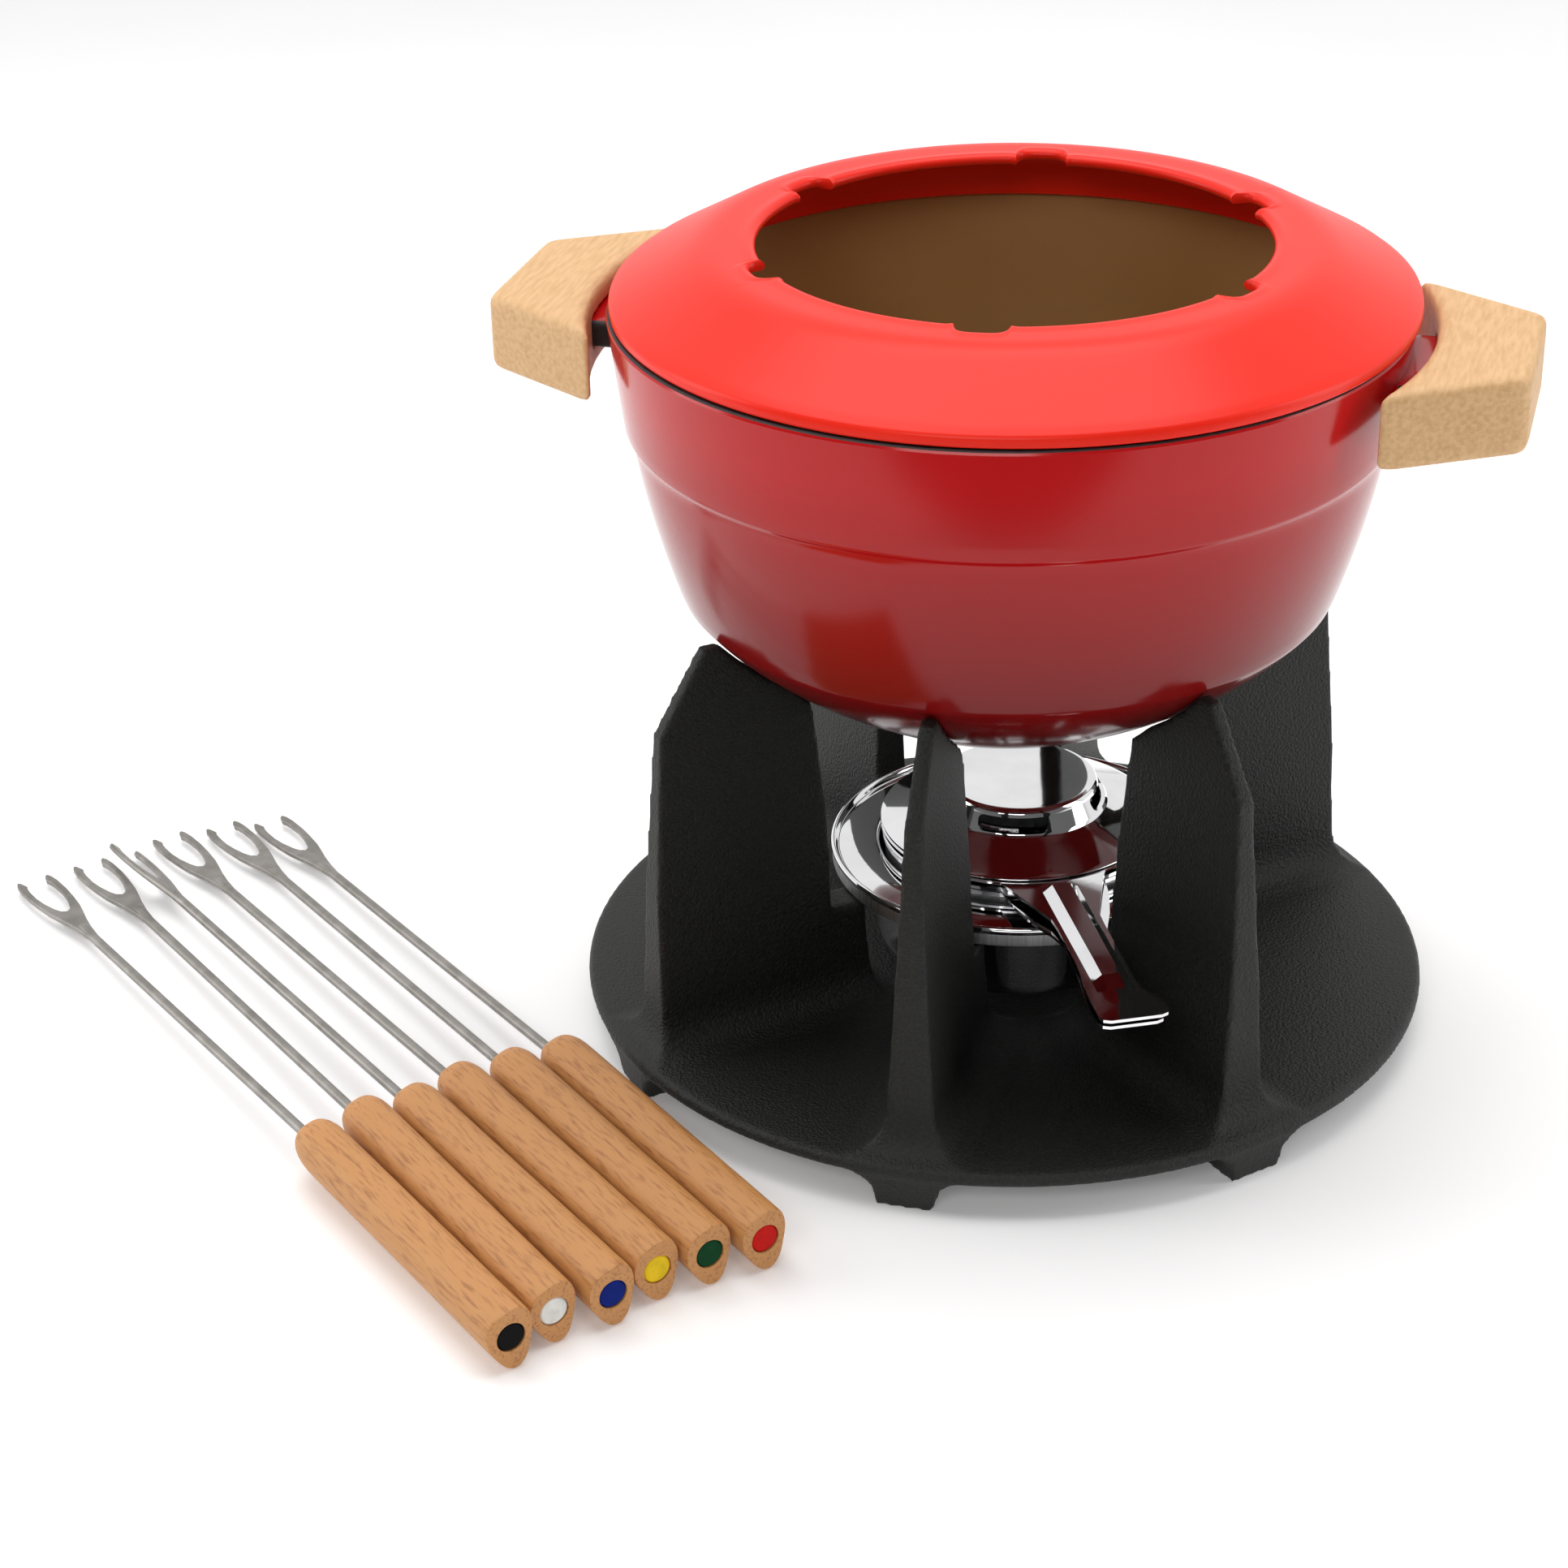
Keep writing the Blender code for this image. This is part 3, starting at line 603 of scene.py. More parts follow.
def soften(obj, width, segments=3, limit=40):
    """Rounds the edges where two faces meet at more than the limit."""
    modifier = obj.modifiers.new("rounded_edges", "BEVEL")
    modifier.width = width
    modifier.segments = segments
    modifier.limit_method = "ANGLE"
    modifier.angle_limit = math.radians(limit)


def settle(obj, helpers=(), smooth=30.0):
    """Bakes the modifiers and the placement into the mesh and clears away the helpers."""
    bpy.context.view_layer.update()
    evaluated = obj.evaluated_get(bpy.context.evaluated_depsgraph_get())
    mesh = bpy.data.meshes.new_from_object(evaluated)
    mesh.transform(obj.matrix_world)
    mesh.shade_smooth()
    mesh.set_sharp_from_angle(angle=math.radians(smooth))
    obj.modifiers.clear()
    obj.data = mesh
    obj.matrix_world = Matrix.Identity(4)
    for other in helpers:
        bpy.data.objects.remove(other)
    return obj


def show(obj, node, body):
    """Lets a piece take a CAD node's place and move with a body."""
    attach(obj, body)
    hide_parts(node)


def refined(node, name, mat, voxel, rounds):
    """A copy of a solid with its corners and facets worn soft."""
    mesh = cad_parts[node].data.copy()
    obj = bpy.data.objects.new(name, mesh)
    bpy.context.scene.collection.objects.link(obj)
    mesh.materials.clear()
    mesh.materials.append(mat)
    bm = bmesh.new()
    bm.from_mesh(mesh)
    bmesh.ops.remove_doubles(bm, verts=bm.verts, dist=MERGE_DISTANCE)
    bm.to_mesh(mesh)
    bm.free()
    remesh = obj.modifiers.new("even_mesh", "REMESH")
    remesh.mode = "VOXEL"
    remesh.voxel_size = voxel
    remesh.use_smooth_shade = True
    even = obj.modifiers.new("soft_corners", "SMOOTH")
    even.factor = 0.5
    even.iterations = rounds
    settle(obj, smooth=180)
    obj.data.materials.clear()
    obj.data.materials.append(mat)
    return obj


def on_axis(height=0.0):
    """A point on the axis that the pot and the stand share."""
    return (AXIS_X, AXIS_Y, height)


def on_burner_axis():
    """The point on the table under the burner's own axis."""
    return (AXIS_X + BURNER_X, AXIS_Y, 0)


def polar(radius, angle, height=0.0):
    """The point at a radius, an angle and a height."""
    return (radius * math.cos(math.radians(angle)), radius * math.sin(math.radians(angle)), height)


def inner_steps(first, last, count):
    """Even steps from the first value to the last, leaving out both."""
    return [first + (last - first) * step / count for step in range(1, count)]


def turned(profile, sides=TURNED_SIDES):
    """A turned solid. The (radius, height) profile is closed, or starts and ends on the axis."""
    bm = bmesh.new()
    verts = [bm.verts.new((radius, 0, height)) for radius, height in profile]
    edges = [bm.edges.new(pair) for pair in zip(verts, verts[1:])]
    if profile[0][0] > 0:
        edges.append(bm.edges.new((verts[-1], verts[0])))
    bmesh.ops.spin(
        bm,
        geom=verts + edges,
        cent=(0, 0, 0),
        axis=(0, 0, 1),
        angle=2 * math.pi,
        steps=sides,
        use_merge=True,
    )
    bmesh.ops.remove_doubles(bm, verts=bm.verts, dist=MERGE_DISTANCE)
    return bm


def join_rows(bm, row, following):
    """A closed band of faces between two rows of vertices."""
    for i in range(len(row)):
        j = (i + 1) % len(row)
        bm.faces.new((row[i], row[j], following[j], following[i]))


def loft(rings):
    """A solid through closed rings of equal length, with flat ends."""
    bm = bmesh.new()
    rows = [[bm.verts.new(point) for point in ring] for ring in rings]
    for row, following in zip(rows, rows[1:]):
        join_rows(bm, row, following)
    bm.faces.new(rows[0])
    bm.faces.new(reversed(rows[-1]))
    return bm


def prism(outline, low, high):
    """A solid between two heights over an outline of (x, y) points."""
    return loft([[(x, y, z) for x, y in outline] for z in (low, high)])


def box(x_range, y_range, z_range):
    (x_low, x_high), (y_low, y_high) = x_range, y_range
    return prism([(x_low, y_low), (x_high, y_low), (x_high, y_high), (x_low, y_high)], *z_range)


# Pot


def underside_radius(height):
    """Outer radius of the pot between its flat base and the crease."""
    t = (height - BASE_HEIGHT) / (CREASE_HEIGHT - BASE_HEIGHT)
    straight = BASE_RADIUS + (CREASE_RADIUS - BASE_RADIUS) * t
    return straight + 4 * UNDERSIDE_BULGE * t * (1 - t)


def wall_radius(height, inset=0.0):
    """Radius of the wall between the crease and the step."""
    t = (height - CREASE_HEIGHT) / (STEP_HEIGHT - CREASE_HEIGHT)
    return CREASE_RADIUS + (STEP_RADIUS - CREASE_RADIUS) * t + 4 * WALL_BULGE * t * (1 - t) - inset


def pot_outside():
    """(radius, height) points down the pot's outside, from the rim to the middle of the base."""
    band_foot = STEP_RADIUS + STEP_DEPTH + 0.0001
    rim_corner = RIM_HEIGHT - RIM_ROUNDING
    step_top = STEP_HEIGHT + STEP_ROUNDING
    step_foot = STEP_HEIGHT - STEP_ROUNDING
    points = [
        (RIM_RADIUS - 0.0008, RIM_HEIGHT),
        (RIM_RADIUS - 0.0003, RIM_HEIGHT - 0.0003),
        (RIM_RADIUS, rim_corner),
    ]
    for t in inner_steps(0, 1, 8):
        points.append((RIM_RADIUS + (band_foot - RIM_RADIUS) * t, rim_corner + t * (step_top - rim_corner)))
    points += [
        (band_foot, step_top),
        (band_foot - 0.0002, STEP_HEIGHT + STEP_ROUNDING / 2),
        (band_foot - 0.0007, STEP_HEIGHT),
        (band_foot - 0.0012, STEP_HEIGHT - STEP_ROUNDING / 2),
        (STEP_RADIUS, step_foot),
    ]
    for t in inner_steps(1, 0, 24):
        height = CREASE_HEIGHT + t * (step_foot - CREASE_HEIGHT)
        points.append((wall_radius(height), height))
    points += [(CREASE_RADIUS, CREASE_HEIGHT + 0.0005), (CREASE_RADIUS - 0.0003, CREASE_HEIGHT - 0.0004)]
    for t in inner_steps(0.98, 0.02, 24):
        height = BASE_HEIGHT + t * (CREASE_HEIGHT - BASE_HEIGHT)
        points.append((underside_radius(height), height))
    points += [
        (BASE_RADIUS + 0.001, BASE_HEIGHT + 0.0006),
        (BASE_RADIUS, BASE_HEIGHT + 0.0001),
        (BASE_RADIUS - 0.001, BASE_HEIGHT),
        (0, BASE_HEIGHT),
    ]
    return points


def pot_inside():
    """(radius, height) points up the pot's inside, from the middle of its floor to the rim."""
    floor = BASE_HEIGHT + POT_WALL
    points = [(0, floor), (0.0380, floor + 0.0004), *POT_INNER_CORNER]
    for t in inner_steps(0.12, 1.0, 16) + [1.0]:
        height = CREASE_HEIGHT + t * (STEP_HEIGHT - CREASE_HEIGHT)
        points.append((wall_radius(height, POT_WALL), height))
    return points + [(RIM_RADIUS - 0.0052, RIM_HEIGHT - 0.0010), (RIM_RADIUS - 0.0044, RIM_HEIGHT)]


def pot_finish(face):
    """Which of the pot's finishes a face has: 0 outside, 1 inside, 2 bare rim and lugs."""
    outward = Vector((face.center.x - AXIS_X, face.center.y - AXIS_Y, 0))
    radius = outward.length
    facing = face.normal.dot(outward) / max(radius, MERGE_DISTANCE)
    on_rim = face.center.z >= RIM_HEIGHT - RIM_BAND
    if radius < INSIDE_LIMIT and not on_rim and (facing < FACES_AXIS or face.normal.z > FACES_UP_INSIDE):
        return 1
    if radius > BARE_LUG_START or (face.normal.z > FACES_UP_RIM and on_rim):
        return 2
    return 0


def make_pot(mat, inside, bare):
    pot = add_object("pot_enamelled", turned(pot_inside() + pot_outside()), mat, on_axis())
    middle = HANDLE_TOP - HANDLE_THICKNESS / 2
    across = (-LUG_HALF_WIDTH, LUG_HALF_WIDTH)
    upward = (-LUG_THICKNESS / 2, LUG_THICKNESS / 2)
    helpers = []
    for angle in (HANDLE_ANGLE, HANDLE_ANGLE + 180):
        lug = box((LUG_ROOT, LUG_REACH), across, upward)
        helpers.append(add_object(f"lug_{angle}", lug, mat, on_axis(middle), angle))
        soften(helpers[-1], LUG_ROUNDING)
        combine(pot, helpers[-1], "UNION")
    settle(pot, helpers)
    pot.data.materials.append(inside)
    pot.data.materials.append(bare)
    for face in pot.data.polygons:
        face.material_index = pot_finish(face)
    show(pot, "pot_body", "pot")


# Fork-rest ring


def opening_radius(angle):
    """Radius of the ring's opening at an angle in degrees: a circle with six rounded notches."""
    from_notch = (angle - NOTCH_ANGLE + NOTCH_SPACING / 2) % NOTCH_SPACING - NOTCH_SPACING / 2
    away = abs(from_notch) / NOTCH_HALF_ANGLE
    if away < 1:
        return OPENING_RADIUS + NOTCH_DEPTH * (1 - away**4) ** 0.5
    return OPENING_RADIUS - CUSP_HEIGHT * math.exp(-(((away - CUSP_PLACE) / CUSP_WIDTH) ** 2))


def ring_top(radius):
    """Height of the ring's top: a cone up to a rounded shoulder, then flat to the opening."""
    slope = (RING_TOP - RING_EDGE_TOP) / (RING_RADIUS - RING_SHOULDER_RADIUS)
    outside = radius - RING_SHOULDER_RADIUS
    if outside > RING_BLEND:
        return RING_TOP - slope * outside
    return RING_TOP - slope * max(outside + RING_BLEND, 0) ** 2 / (4 * RING_BLEND)


def ring_section(opening):
    """Closed (radius, height) section of the ring where its opening has the given radius."""
    lip = opening + LIP_WIDTH
    under = RING_THICKNESS
    top = ring_top(opening)
    rolled_lip = [
        (opening + 0.0026, top + 0.0002),
        (opening + 0.0016, top + 0.0003),
        (opening + 0.0009, top),
        (opening + 0.0004, top - 0.0004),
        (opening + 0.0001, top - 0.0008),
        (opening, top - 0.0014),
        (opening + 0.0002, top - 0.0020),
        (opening + 0.0007, top - 0.0025),
        (lip, ring_top(lip) - under),
    ]
    underside = [
        (0.0755, ring_top(0.0755) - under * 1.05),
        (0.0800, ring_top(0.0800) - under * 1.1),
        (SKIRT_RADIUS - SKIRT_THICKNESS, ring_top(SKIRT_RADIUS) - under),
        (SKIRT_RADIUS - SKIRT_THICKNESS, SKIRT_BOTTOM + 0.0006),
        (SKIRT_RADIUS - 0.0010, SKIRT_BOTTOM),
        (SKIRT_RADIUS, SKIRT_BOTTOM + 0.0006),
        (SKIRT_RADIUS, RIM_HEIGHT + GAP),
    ]
    edge = [
        (RING_RADIUS - 0.0006, RIM_HEIGHT + GAP),
        (RING_RADIUS - 0.0001, RIM_HEIGHT + 0.0006),
        (RING_RADIUS, RIM_HEIGHT + 0.0011),
        (RING_RADIUS, RING_EDGE_TOP - 0.0014),
        (RING_RADIUS - 0.0001, RING_EDGE_TOP - 0.0008),
        (RING_RADIUS - 0.0004, RING_EDGE_TOP - 0.0001),
        (RING_RADIUS - EDGE_ROUNDING, RING_EDGE_TOP + 0.0002),
    ]
    radii = inner_steps(RING_RADIUS - EDGE_ROUNDING, lip, 26) + [lip]
    return rolled_lip + underside + edge + [(radius, ring_top(radius)) for radius in radii]


def make_ring(mat):
    bm = bmesh.new()
    rows = []
    for step in range(RING_SECTIONS):
        angle = NOTCH_ANGLE + 360 * step / RING_SECTIONS
        section = ring_section(opening_radius(angle))
        rows.append([bm.verts.new(polar(radius, angle, height)) for radius, height in section])
    for row, following in zip(rows, rows[1:] + rows[:1]):
        join_rows(bm, row, following)
    ring = add_object("ring_enamelled", bm, mat, (AXIS_X + RING_X, AXIS_Y + RING_Y, 0))
    show(settle(ring, smooth=60), "fork_rest_ring", "fork_rest")


# Burner


def make_burner_dish(mat, brushed):
    """The dish for the can. The outside of its skirt is brushed."""
    inside = BOWL_RADIUS - SHEET
    skirt_bottom = LEDGE_HEIGHT + GAP
    top_side = [
        (0, BOWL_BOTTOM + SHEET),
        (0.0358, BOWL_BOTTOM + SHEET),
        (0.0374, BOWL_BOTTOM + 0.0020),
        (inside, BOWL_BOTTOM + 0.0040),
        (inside, DISH_LIP - 0.0006),
        (inside + 0.0006, DISH_LIP),
        (0.0405, 0.0469),
        (0.0425, 0.04675),
        (0.0445, 0.0465),
        (0.0462, 0.0462),
        (0.0478, 0.0458),
        (DISH_RADIUS - 0.0016, 0.0453),
    ]
    bead = [
        (DISH_RADIUS - 0.0012, BEAD_TOP - 0.0009),
        (DISH_RADIUS - 0.0005, BEAD_TOP),
        (BEAD_RADIUS - 0.0001, BEAD_TOP - 0.0004),
        (BEAD_RADIUS, BEAD_TOP - 0.0014),
        (DISH_RADIUS, BEAD_TOP - 0.0019),
    ]
    underside = [
        (DISH_RADIUS, skirt_bottom),
        (DISH_RADIUS - SHEET, skirt_bottom),
        (DISH_RADIUS - SHEET, 0.0444),
        (0.0450, 0.0451),
        (BOWL_RADIUS + 0.0006, DISH_LIP - 0.0011),
        (BOWL_RADIUS, DISH_LIP - 0.0018),
        (BOWL_RADIUS, BOWL_BOTTOM + 0.0040),
        (BOWL_RADIUS - 0.0006, BOWL_BOTTOM + 0.0014),
        (0.0362, BOWL_BOTTOM),
        (0, BOWL_BOTTOM),
    ]
    dish = add_object("dish_polished", turned(top_side + bead + underside), mat, on_burner_axis())
    soften(dish, DISH_ROUNDING, limit=20)
    settle(dish)
    dish.data.materials.append(brushed)
    for face in dish.data.polygons:
        radius = math.hypot(face.center.x - AXIS_X - BURNER_X, face.center.y - AXIS_Y)
        if face.center.z < BRUSHED_TOP and radius > BRUSHED_INNER:
            face.material_index = 1
    show(dish, "burner_dish", "burner")


def make_cover(mat):
    """The closed cover: a slightly dished disc on a neck with windows, over a sloping skirt."""
    foot = BRIM_TOP + GAP
    dished_disc = [
        (0, COVER_TOP - 0.00050),
        (0.0040, COVER_TOP - 0.00048),
        (0.0080, COVER_TOP - 0.00042),
        (0.0120, COVER_TOP - 0.00031),
        (0.0155, COVER_TOP - 0.00019),
        (0.0180, COVER_TOP - 0.00008),
        (DISC_RADIUS, COVER_TOP),
    ]
    neck_and_skirt = [
        (DISC_RADIUS + 0.0010, COVER_TOP - 0.0003),
        (DISC_RADIUS + 0.0016, COVER_TOP - 0.0010),
        (NECK_RADIUS, COVER_TOP - 0.0018),
        (NECK_BASE_RADIUS, 0.0597),
        (NECK_BASE_RADIUS + 0.0006, 0.0590),
        (NECK_BASE_RADIUS + 0.0030, 0.0581),
        (0.0320, 0.0561),
        (0.0362, 0.0545),
        (BRIM_RADIUS - 0.0002, foot + 0.0003),
        (BRIM_RADIUS - 0.0002, foot),
    ]
    underside = [
        (0.0350, foot),
        (0.0318, 0.0551),
        (NECK_BASE_RADIUS + 0.0026, 0.0571),
        (NECK_BASE_RADIUS, 0.0581),
        (NECK_BASE_RADIUS - 0.0008, 0.0590),
        (NECK_RADIUS - 0.0008, COVER_TOP - 0.0021),
        (DISC_RADIUS + 0.0007, COVER_TOP - 0.0015),
        (DISC_RADIUS - 0.0002, COVER_TOP - SHEET),
        (0, COVER_TOP - SHEET),
    ]
    profile = dished_disc + neck_and_skirt + underside
    cover = add_object("cover_polished", turned(profile), mat, on_burner_axis())
    soften(cover, COVER_ROUNDING, limit=12)
    across = (-WINDOW_HALF_WIDTH, WINDOW_HALF_WIDTH)
    windows = []
    for turn in range(WINDOW_COUNT):
        window = box(WINDOW_CUT_RADII, across, (WINDOW_LOW, WINDOW_HIGH))
        angle = WINDOW_ANGLE + 360 / WINDOW_COUNT * turn
        windows.append(add_object(f"window_{turn}", window, mat, on_burner_axis(), angle))
        soften(windows[-1], WINDOW_ROUNDING, segments=4)
        combine(cover, windows[-1], "DIFFERENCE")
    show(settle(cover, windows), "burner_cover", "cover")


def lever_bm(stations):
    """A sheet lever along +X. Each station is (reach, height, left, right, rib height).

    It is a hair thinner than its plate, so that the faces of the two don't coincide.
    """
    rings = []
    half_sheet = SHEET / 2 - LEVER_SLACK
    for reach, height, left, right, rib in stations:
        base = min(RIB_BASE_HALF, RIB_SHARE * min(left, right))
        top = base * RIB_TOP_HALF / RIB_BASE_HALF
        upper = [(-left, 0), (-base, 0), (-top, rib), (top, rib), (base, 0), (right, 0)]
        ring = [(reach, side, height + lift + half_sheet) for side, lift in upper]
        ring += [(reach, side, height + lift - half_sheet) for side, lift in upper[::-1]]
        rings.append(ring)
    return loft(rings)


def plate_ring(inner, outer, top):
    """A flat ring of sheet."""
    return turned([(inner, top), (outer, top), (outer, top - SHEET), (inner, top - SHEET)])


def lever_plate(name, plate, stations, mat):
    """A flat ring with a lever joined to it and all edges rounded."""
    obj = add_object(f"{name}_plate", plate, mat, on_burner_axis())
    lever = add_object(f"{name}_lever", lever_bm(stations), mat, on_burner_axis(), LEVER_ANGLE)
    combine(obj, lever, "UNION")
    soften(obj, SHEET_ROUNDING, segments=2)
    return settle(obj, [lever], smooth=SHEET_SMOOTH_ANGLE)


def make_cover_handle(mat):
    middle = BRIM_TOP - SHEET / 2
    stations = [
        (LEVER_ROOT, middle, 0.0146, 0.0146, 0),
        (0.0418, middle, 0.0120, 0.0118, 0),
        (0.0432, middle, 0.0115, 0.0113, 0.0020),
        (0.0510, middle, 0.0086, 0.0085, RIB_HEIGHT),
        (0.0570, middle, 0.0064, 0.0065, RIB_HEIGHT),
        (0.0620, middle, 0.0061, 0.0063, RIB_HEIGHT),
        (0.0810, middle, 0.0063, 0.0060, RIB_HEIGHT),
        (0.0895, middle, 0.0070, 0.0060, 0.0019),
        (0.0945, middle, 0.0075, 0.0064, 0.0004),
        (0.0980, middle, 0.0077, 0.0080, 0),
        (0.1010, middle, 0.0077, 0.0099, 0),
        (LEVER_END - 0.0026, middle, 0.0077, 0.0103, 0),
        (LEVER_END - 0.0008, middle, 0.0070, 0.0096, 0),
        (LEVER_END, middle, 0.0052, 0.0078, 0),
    ]
    plate = plate_ring(COVER_PLATE_INNER, BRIM_RADIUS, BRIM_TOP)
    show(lever_plate("cover", plate, stations, mat), "cover_handle", "cover")


def make_regulator(mat):
    root = REGULATOR_TOP - SHEET / 2
    level = root + REGULATOR_RISE
    stations = [
        (LEVER_ROOT, root, 0.0142, 0.0142, 0),
        (0.0440, root, 0.0132, 0.0130, 0),
        (0.0534, root, 0.0106, 0.0104, 0),
        (0.0620, root + 0.0005, 0.0074, 0.0072, 0),
        (0.0680, level, 0.0059, 0.0058, 0),
        (0.0810, level, 0.0066, 0.0058, 0),
        (0.0945, level, 0.0079, 0.0062, 0),
        (0.1010, level, 0.0080, 0.0088, 0),
        (LEVER_END - 0.0026, level, 0.0079, 0.0092, 0),
        (LEVER_END - 0.0008, level, 0.0071, 0.0084, 0),
        (LEVER_END, level, 0.0053, 0.0066, 0),
    ]
    plate = plate_ring(REGULATOR_INNER, REGULATOR_RADIUS, REGULATOR_TOP)
    regulator = lever_plate("regulator", plate, stations, mat)
    show(regulator, "air_regulator", "regulator")


# Forks


def tine_outline():
    """Plan of the fork's head along +X, from the shoulder at 0 to the tips: two hooked tines."""
    outer_edge = [
        (0, 0.0014),
        (0.0055, 0.0019),
        (0.011, 0.0028),
        (0.016, 0.0039),
        (0.0205, 0.0048),
        (0.027, 0.0055),
        (0.033, 0.0059),
        (0.0395, 0.0059),
        (0.0430, 0.0055),
        (HEAD_LENGTH, 0.0047),
    ]
    inner_edge = [
        (0.0442, 0.0038),
        (0.0412, 0.0030),
        (0.0398, 0.0035),
        (0.037, 0.0038),
        (0.032, 0.0039),
        (0.0275, 0.0034),
        (0.0225, 0.0023),
        (0.0200, 0.0013),
    ]
    half = outer_edge + inner_edge
    return half + [(0.0190, 0)] + [(x, -y) for x, y in half[::-1]]


def rod_stations(head_start, tip_drop):
    """(reach, height) along a fork's rod: straight in the handle, then falling to the head."""
    nose = FORK_HANDLE_LENGTH
    return [
        (nose - ROD_DEPTH, 0),
        (nose, 0),
        (nose + 0.003, -0.00006),
        (head_start + ROD_OVERLAP, tip_drop),
    ]


def handle_section(share):
    """Rounded three-cornered section of a fork handle, in (side, up) about its centre."""
    points = []
    for step in range(HANDLE_SECTION_POINTS):
        angle = 2 * math.pi * (step + SECTION_FIRST_STEP) / HANDLE_SECTION_POINTS
        lobe = math.cos(SECTION_LOBES * (angle - math.radians(SECTION_LOBE_ANGLE)))
        radius = SECTION_RADIUS + SECTION_LOBE * lobe
        stretch = SECTION_HEIGHT - SECTION_FLATTENING * math.sin(angle)
        side = SECTION_WIDTH * radius * math.cos(angle) * share
        up = stretch * radius * math.sin(angle) * share * SECTION_FIT
        points.append((side, up))
    return points


def fork_placement(index):
    """The matrix that takes a fork from the +X axis, butt at the origin, to its place."""
    heading = FORK_DIRECTION + FORK_YAW[index]
    middle = Vector(polar(FORK_STAGGER[index] + FORK_HANDLE_LENGTH / 2, FORK_DIRECTION))
    middle += Vector(polar(FORK_FIRST_LATERAL + FORK_PITCH * index, FORK_DIRECTION - 90))
    start = Vector(on_axis(FORK_AXIS)) + middle - Vector(polar(FORK_HANDLE_LENGTH / 2, heading))
    return Matrix.Translation(start) @ Matrix.Rotation(math.radians(heading), 4, "Z")


def along_x():
    """The matrix that lays a turned solid's axis along +X."""
    return Matrix.Rotation(math.radians(90), 4, "Y")


def make_fork_handle(colour, place, wood):
    stations = [*HANDLE_BUTT]
    stations += [(reach, 1) for reach in inner_steps(HANDLE_BUTT[-1][0], HANDLE_NOSE[0][0], 24)]
    stations += HANDLE_NOSE
    rings = [[(reach, side, up) for side, up in handle_section(share)] for reach, share in stations]
    handle = add_object(f"turned_handle_{colour}", loft(rings), wood)
    rod_end = FORK_HANDLE_LENGTH - ROD_DEPTH - ROD_END_GAP
    holes = {
        "rod": (ROD_HOLE_RADIUS, PAST_NOSE, rod_end),
        "dot": (DOT_RADIUS + GAP, DOT_DEPTH, BEFORE_BUTT),
    }
    cutters = []
    for name, (radius, start, end) in holes.items():
        hole = turned([(0, start), (radius, start), (radius, end), (0, end)], HOLE_SIDES)
        cutters.append(add_object(f"{name}_hole_{colour}", hole, wood))
        cutters[-1].matrix_world = along_x()
        combine(handle, cutters[-1], "DIFFERENCE")
    settle(handle, cutters)
    handle.data.transform(place)
    show(handle, f"fork_handle_{colour}", f"fork_{colour}")


def make_fork_dot(colour, place, mat):
    profile = [
        (0, DOT_DEPTH - GAP),
        (DOT_RADIUS, DOT_DEPTH - GAP),
        (DOT_RADIUS + DOT_BULGE, 0.0010),
        (DOT_RADIUS + DOT_BULGE, 0.0005),
        (DOT_RADIUS - 0.0003, 0.0002),
        (0, 0.0001),
    ]
    dot = add_object(f"inlaid_dot_{colour}", turned(profile, DOT_SIDES), mat)
    dot.matrix_world = place @ along_x()
    show(settle(dot), f"fork_dot_{colour}", f"fork_{colour}")


def make_fork_prongs(index, colour, place, steel):
    """The rod and the two-pronged head, which slope down together to the table."""
    head_start = FORK_LENGTHS[index] - HEAD_LENGTH
    bare_length = FORK_LENGTHS[index] - FORK_HANDLE_LENGTH
    slope = math.atan((FORK_AXIS - FORK_AXIS_AT_TIP[index]) / bare_length)
    head_drop = -math.tan(slope) * (head_start - FORK_HANDLE_LENGTH)
    circle = [polar(ROD_RADIUS, 360 * step / ROD_SIDES) for step in range(ROD_SIDES)]
    rings = []
    for reach, height in rod_stations(head_start, head_drop - ROD_OVERLAP * math.tan(slope)):
        rings.append([(reach, side, height + up) for side, up, _ in circle])
    prongs = add_object(f"forged_prongs_{colour}", loft(rings), steel)
    tines = prism(tine_outline(), -TINE_THICKNESS / 2, TINE_THICKNESS / 2)
    head = add_object(f"head_{colour}", tines, steel)
    soften(head, TINE_ROUNDING, limit=50)
    roll = Matrix.Rotation(math.radians(PRONG_ROLL[index]), 4, "X")
    tilt = Matrix.Rotation(slope, 4, "Y") @ roll
    head.matrix_world = Matrix.Translation((head_start, 0, head_drop)) @ tilt
    combine(prongs, head, "UNION")
    settle(prongs, [head])
    prongs.data.transform(place)
    show(prongs, f"fork_prongs_{colour}", f"fork_{colour}")


def make_forks(steel, wood):
    for index, colour in enumerate(FORK_COLOURS):
        place = fork_placement(index)
        make_fork_handle(colour, place, wood)
        make_fork_dot(colour, place, dot_plastic(colour))
        make_fork_prongs(index, colour, place, steel)


# Surroundings


def make_floor():
    mat = pale_floor()
    shader = mat.node_tree.nodes["Principled BSDF"]
    shader.inputs["Emission Color"].default_value = (1, 1, 1, 1)
    shader.inputs["Emission Strength"].default_value = FLOOR_GLOW
    bm = bmesh.new()
    bmesh.ops.create_grid(bm, x_segments=FLOOR_CELLS, y_segments=FLOOR_CELLS, size=FLOOR_HALF_SIZE)
    floor = add_object("floor", bm, mat)


def make_black_card():
    """A card on the floor in front of the set, outside the picture, that darkens reflections."""
    card = add_object("black_card", box(*CARD_BOX), card_black())
    card.visible_camera = False
    card.visible_diffuse = False
    card.visible_shadow = False


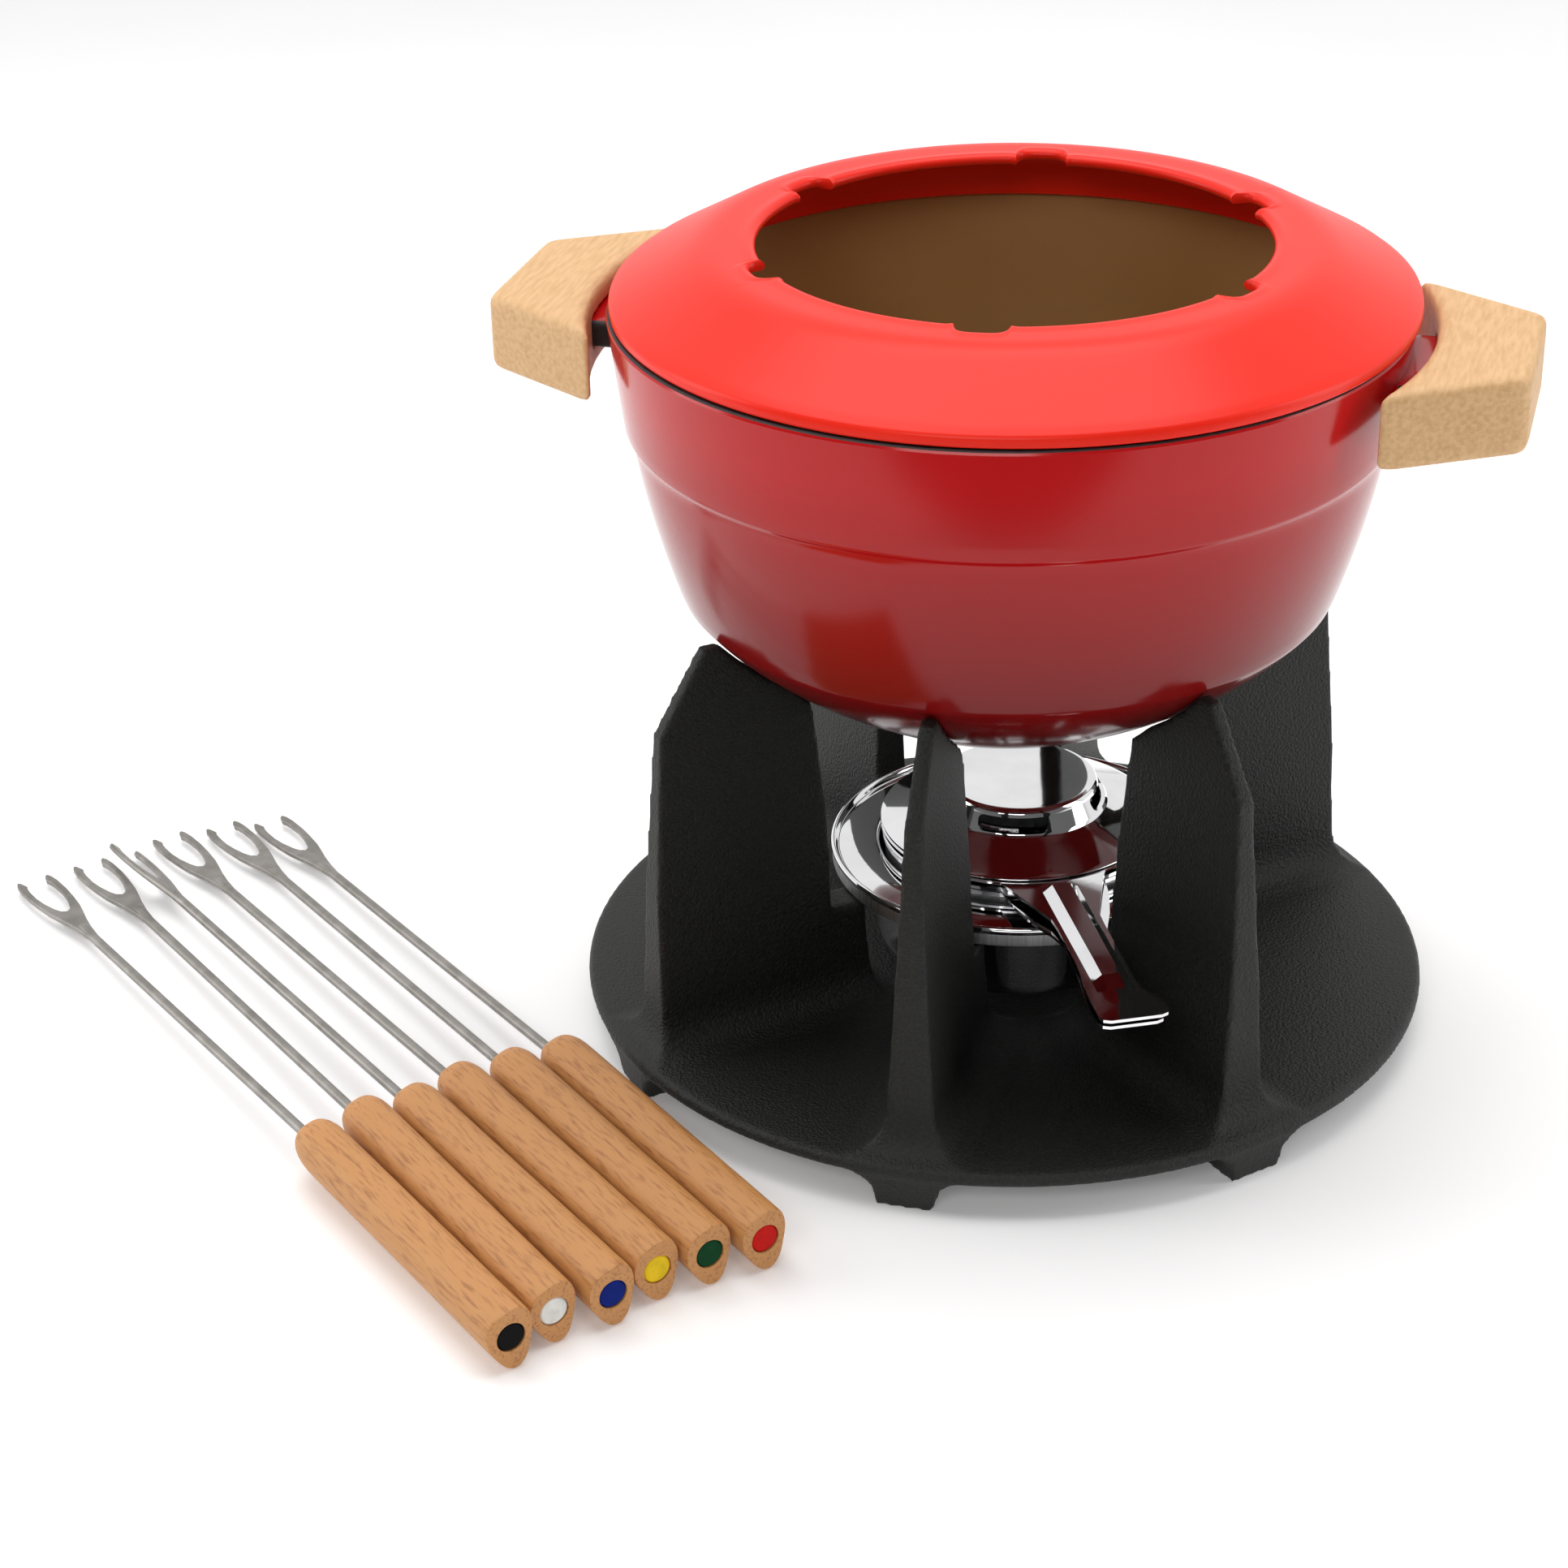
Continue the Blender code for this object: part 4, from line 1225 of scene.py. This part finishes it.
def add_softbox(name, place, size, power):
    light = bpy.data.lights.new(name, "AREA")
    light.shape = "RECTANGLE"
    light.size, light.size_y = size
    light.energy = power
    obj = bpy.data.objects.new(name, light)
    obj.location = place
    aim = Vector(LIGHT_TARGET) - Vector(place)
    obj.rotation_euler = aim.to_track_quat("-Z", "Y").to_euler()
    bpy.context.scene.collection.objects.link(obj)


def make_lights():
    """Four softboxes, and a plain world that is darker in front than behind."""
    for name, place, size, power in SOFTBOXES:
        add_softbox(name, place, size, power)
    world = bpy.data.worlds.new("studio")
    world.use_nodes = True
    tree = world.node_tree
    place = tree.nodes.new("ShaderNodeTexCoord")
    split = tree.nodes.new("ShaderNodeSeparateXYZ")
    tree.links.new(place.outputs["Generated"], split.inputs["Vector"])
    colour = add_ramp(tree, split.outputs["Y"], WORLD_STOPS)
    tree.links.new(colour, tree.nodes["Background"].inputs["Color"])
    bpy.context.scene.world = world


def make_camera():
    camera = bpy.data.cameras.new("camera")
    camera.lens = CAMERA_LENS
    camera.sensor_width = CAMERA_SENSOR
    obj = bpy.data.objects.new("camera", camera)
    turn = Matrix((CAMERA_RIGHT, CAMERA_UP, CAMERA_BACK)).transposed().to_4x4()
    obj.matrix_world = Matrix.Translation(CAMERA_PLACE) @ turn
    bpy.context.scene.collection.objects.link(obj)
    bpy.context.scene.camera = obj


def finish_plain_nodes(steel, aluminium, chrome):
    """Small parts that keep their solid shape and only take a finish."""
    finishes = {"fuel_can": aluminium, "regulator_sleeve": chrome}
    for side in SIDES:
        finishes[f"handle_screw_{side}"] = steel
        finishes[f"handle_washer_{side}"] = steel
    for name, mat in finishes.items():
        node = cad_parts[name]
        node.data.materials.clear()
        node.data.materials.append(mat)


def main():
    iron = cast_iron()
    cherry = cherry_enamel()
    inside = inside_enamel()
    bare = bare_rim()
    scarlet = red_enamel()
    woods = {side: beech(side) for side in SIDES}
    fork_wood = fork_beech()
    chrome = polished_steel()
    aluminium = can_aluminium()
    brushed = brushed_steel()
    steel = fork_steel()
    screw = screw_steel()
    stand = refined("stand_casting", "stand_cast", iron, STAND_VOXEL, STAND_SMOOTHING)
    show(stand, "stand_casting", "stand")
    make_pot(cherry, inside, bare)
    make_ring(scarlet)
    for side, wood in woods.items():
        handle = refined(f"handle_{side}", f"wooden_handle_{side}", wood, HANDLE_VOXEL, HANDLE_SMOOTHING)
        show(handle, f"handle_{side}", "pot")
    make_burner_dish(chrome, brushed)
    make_cover(chrome)
    make_cover_handle(chrome)
    make_regulator(chrome)
    finish_plain_nodes(screw, aluminium, chrome)
    make_forks(steel, fork_wood)
    make_floor()
    make_black_card()
    make_lights()
    make_camera()
    bpy.context.scene.view_settings.view_transform = "Standard"


main()
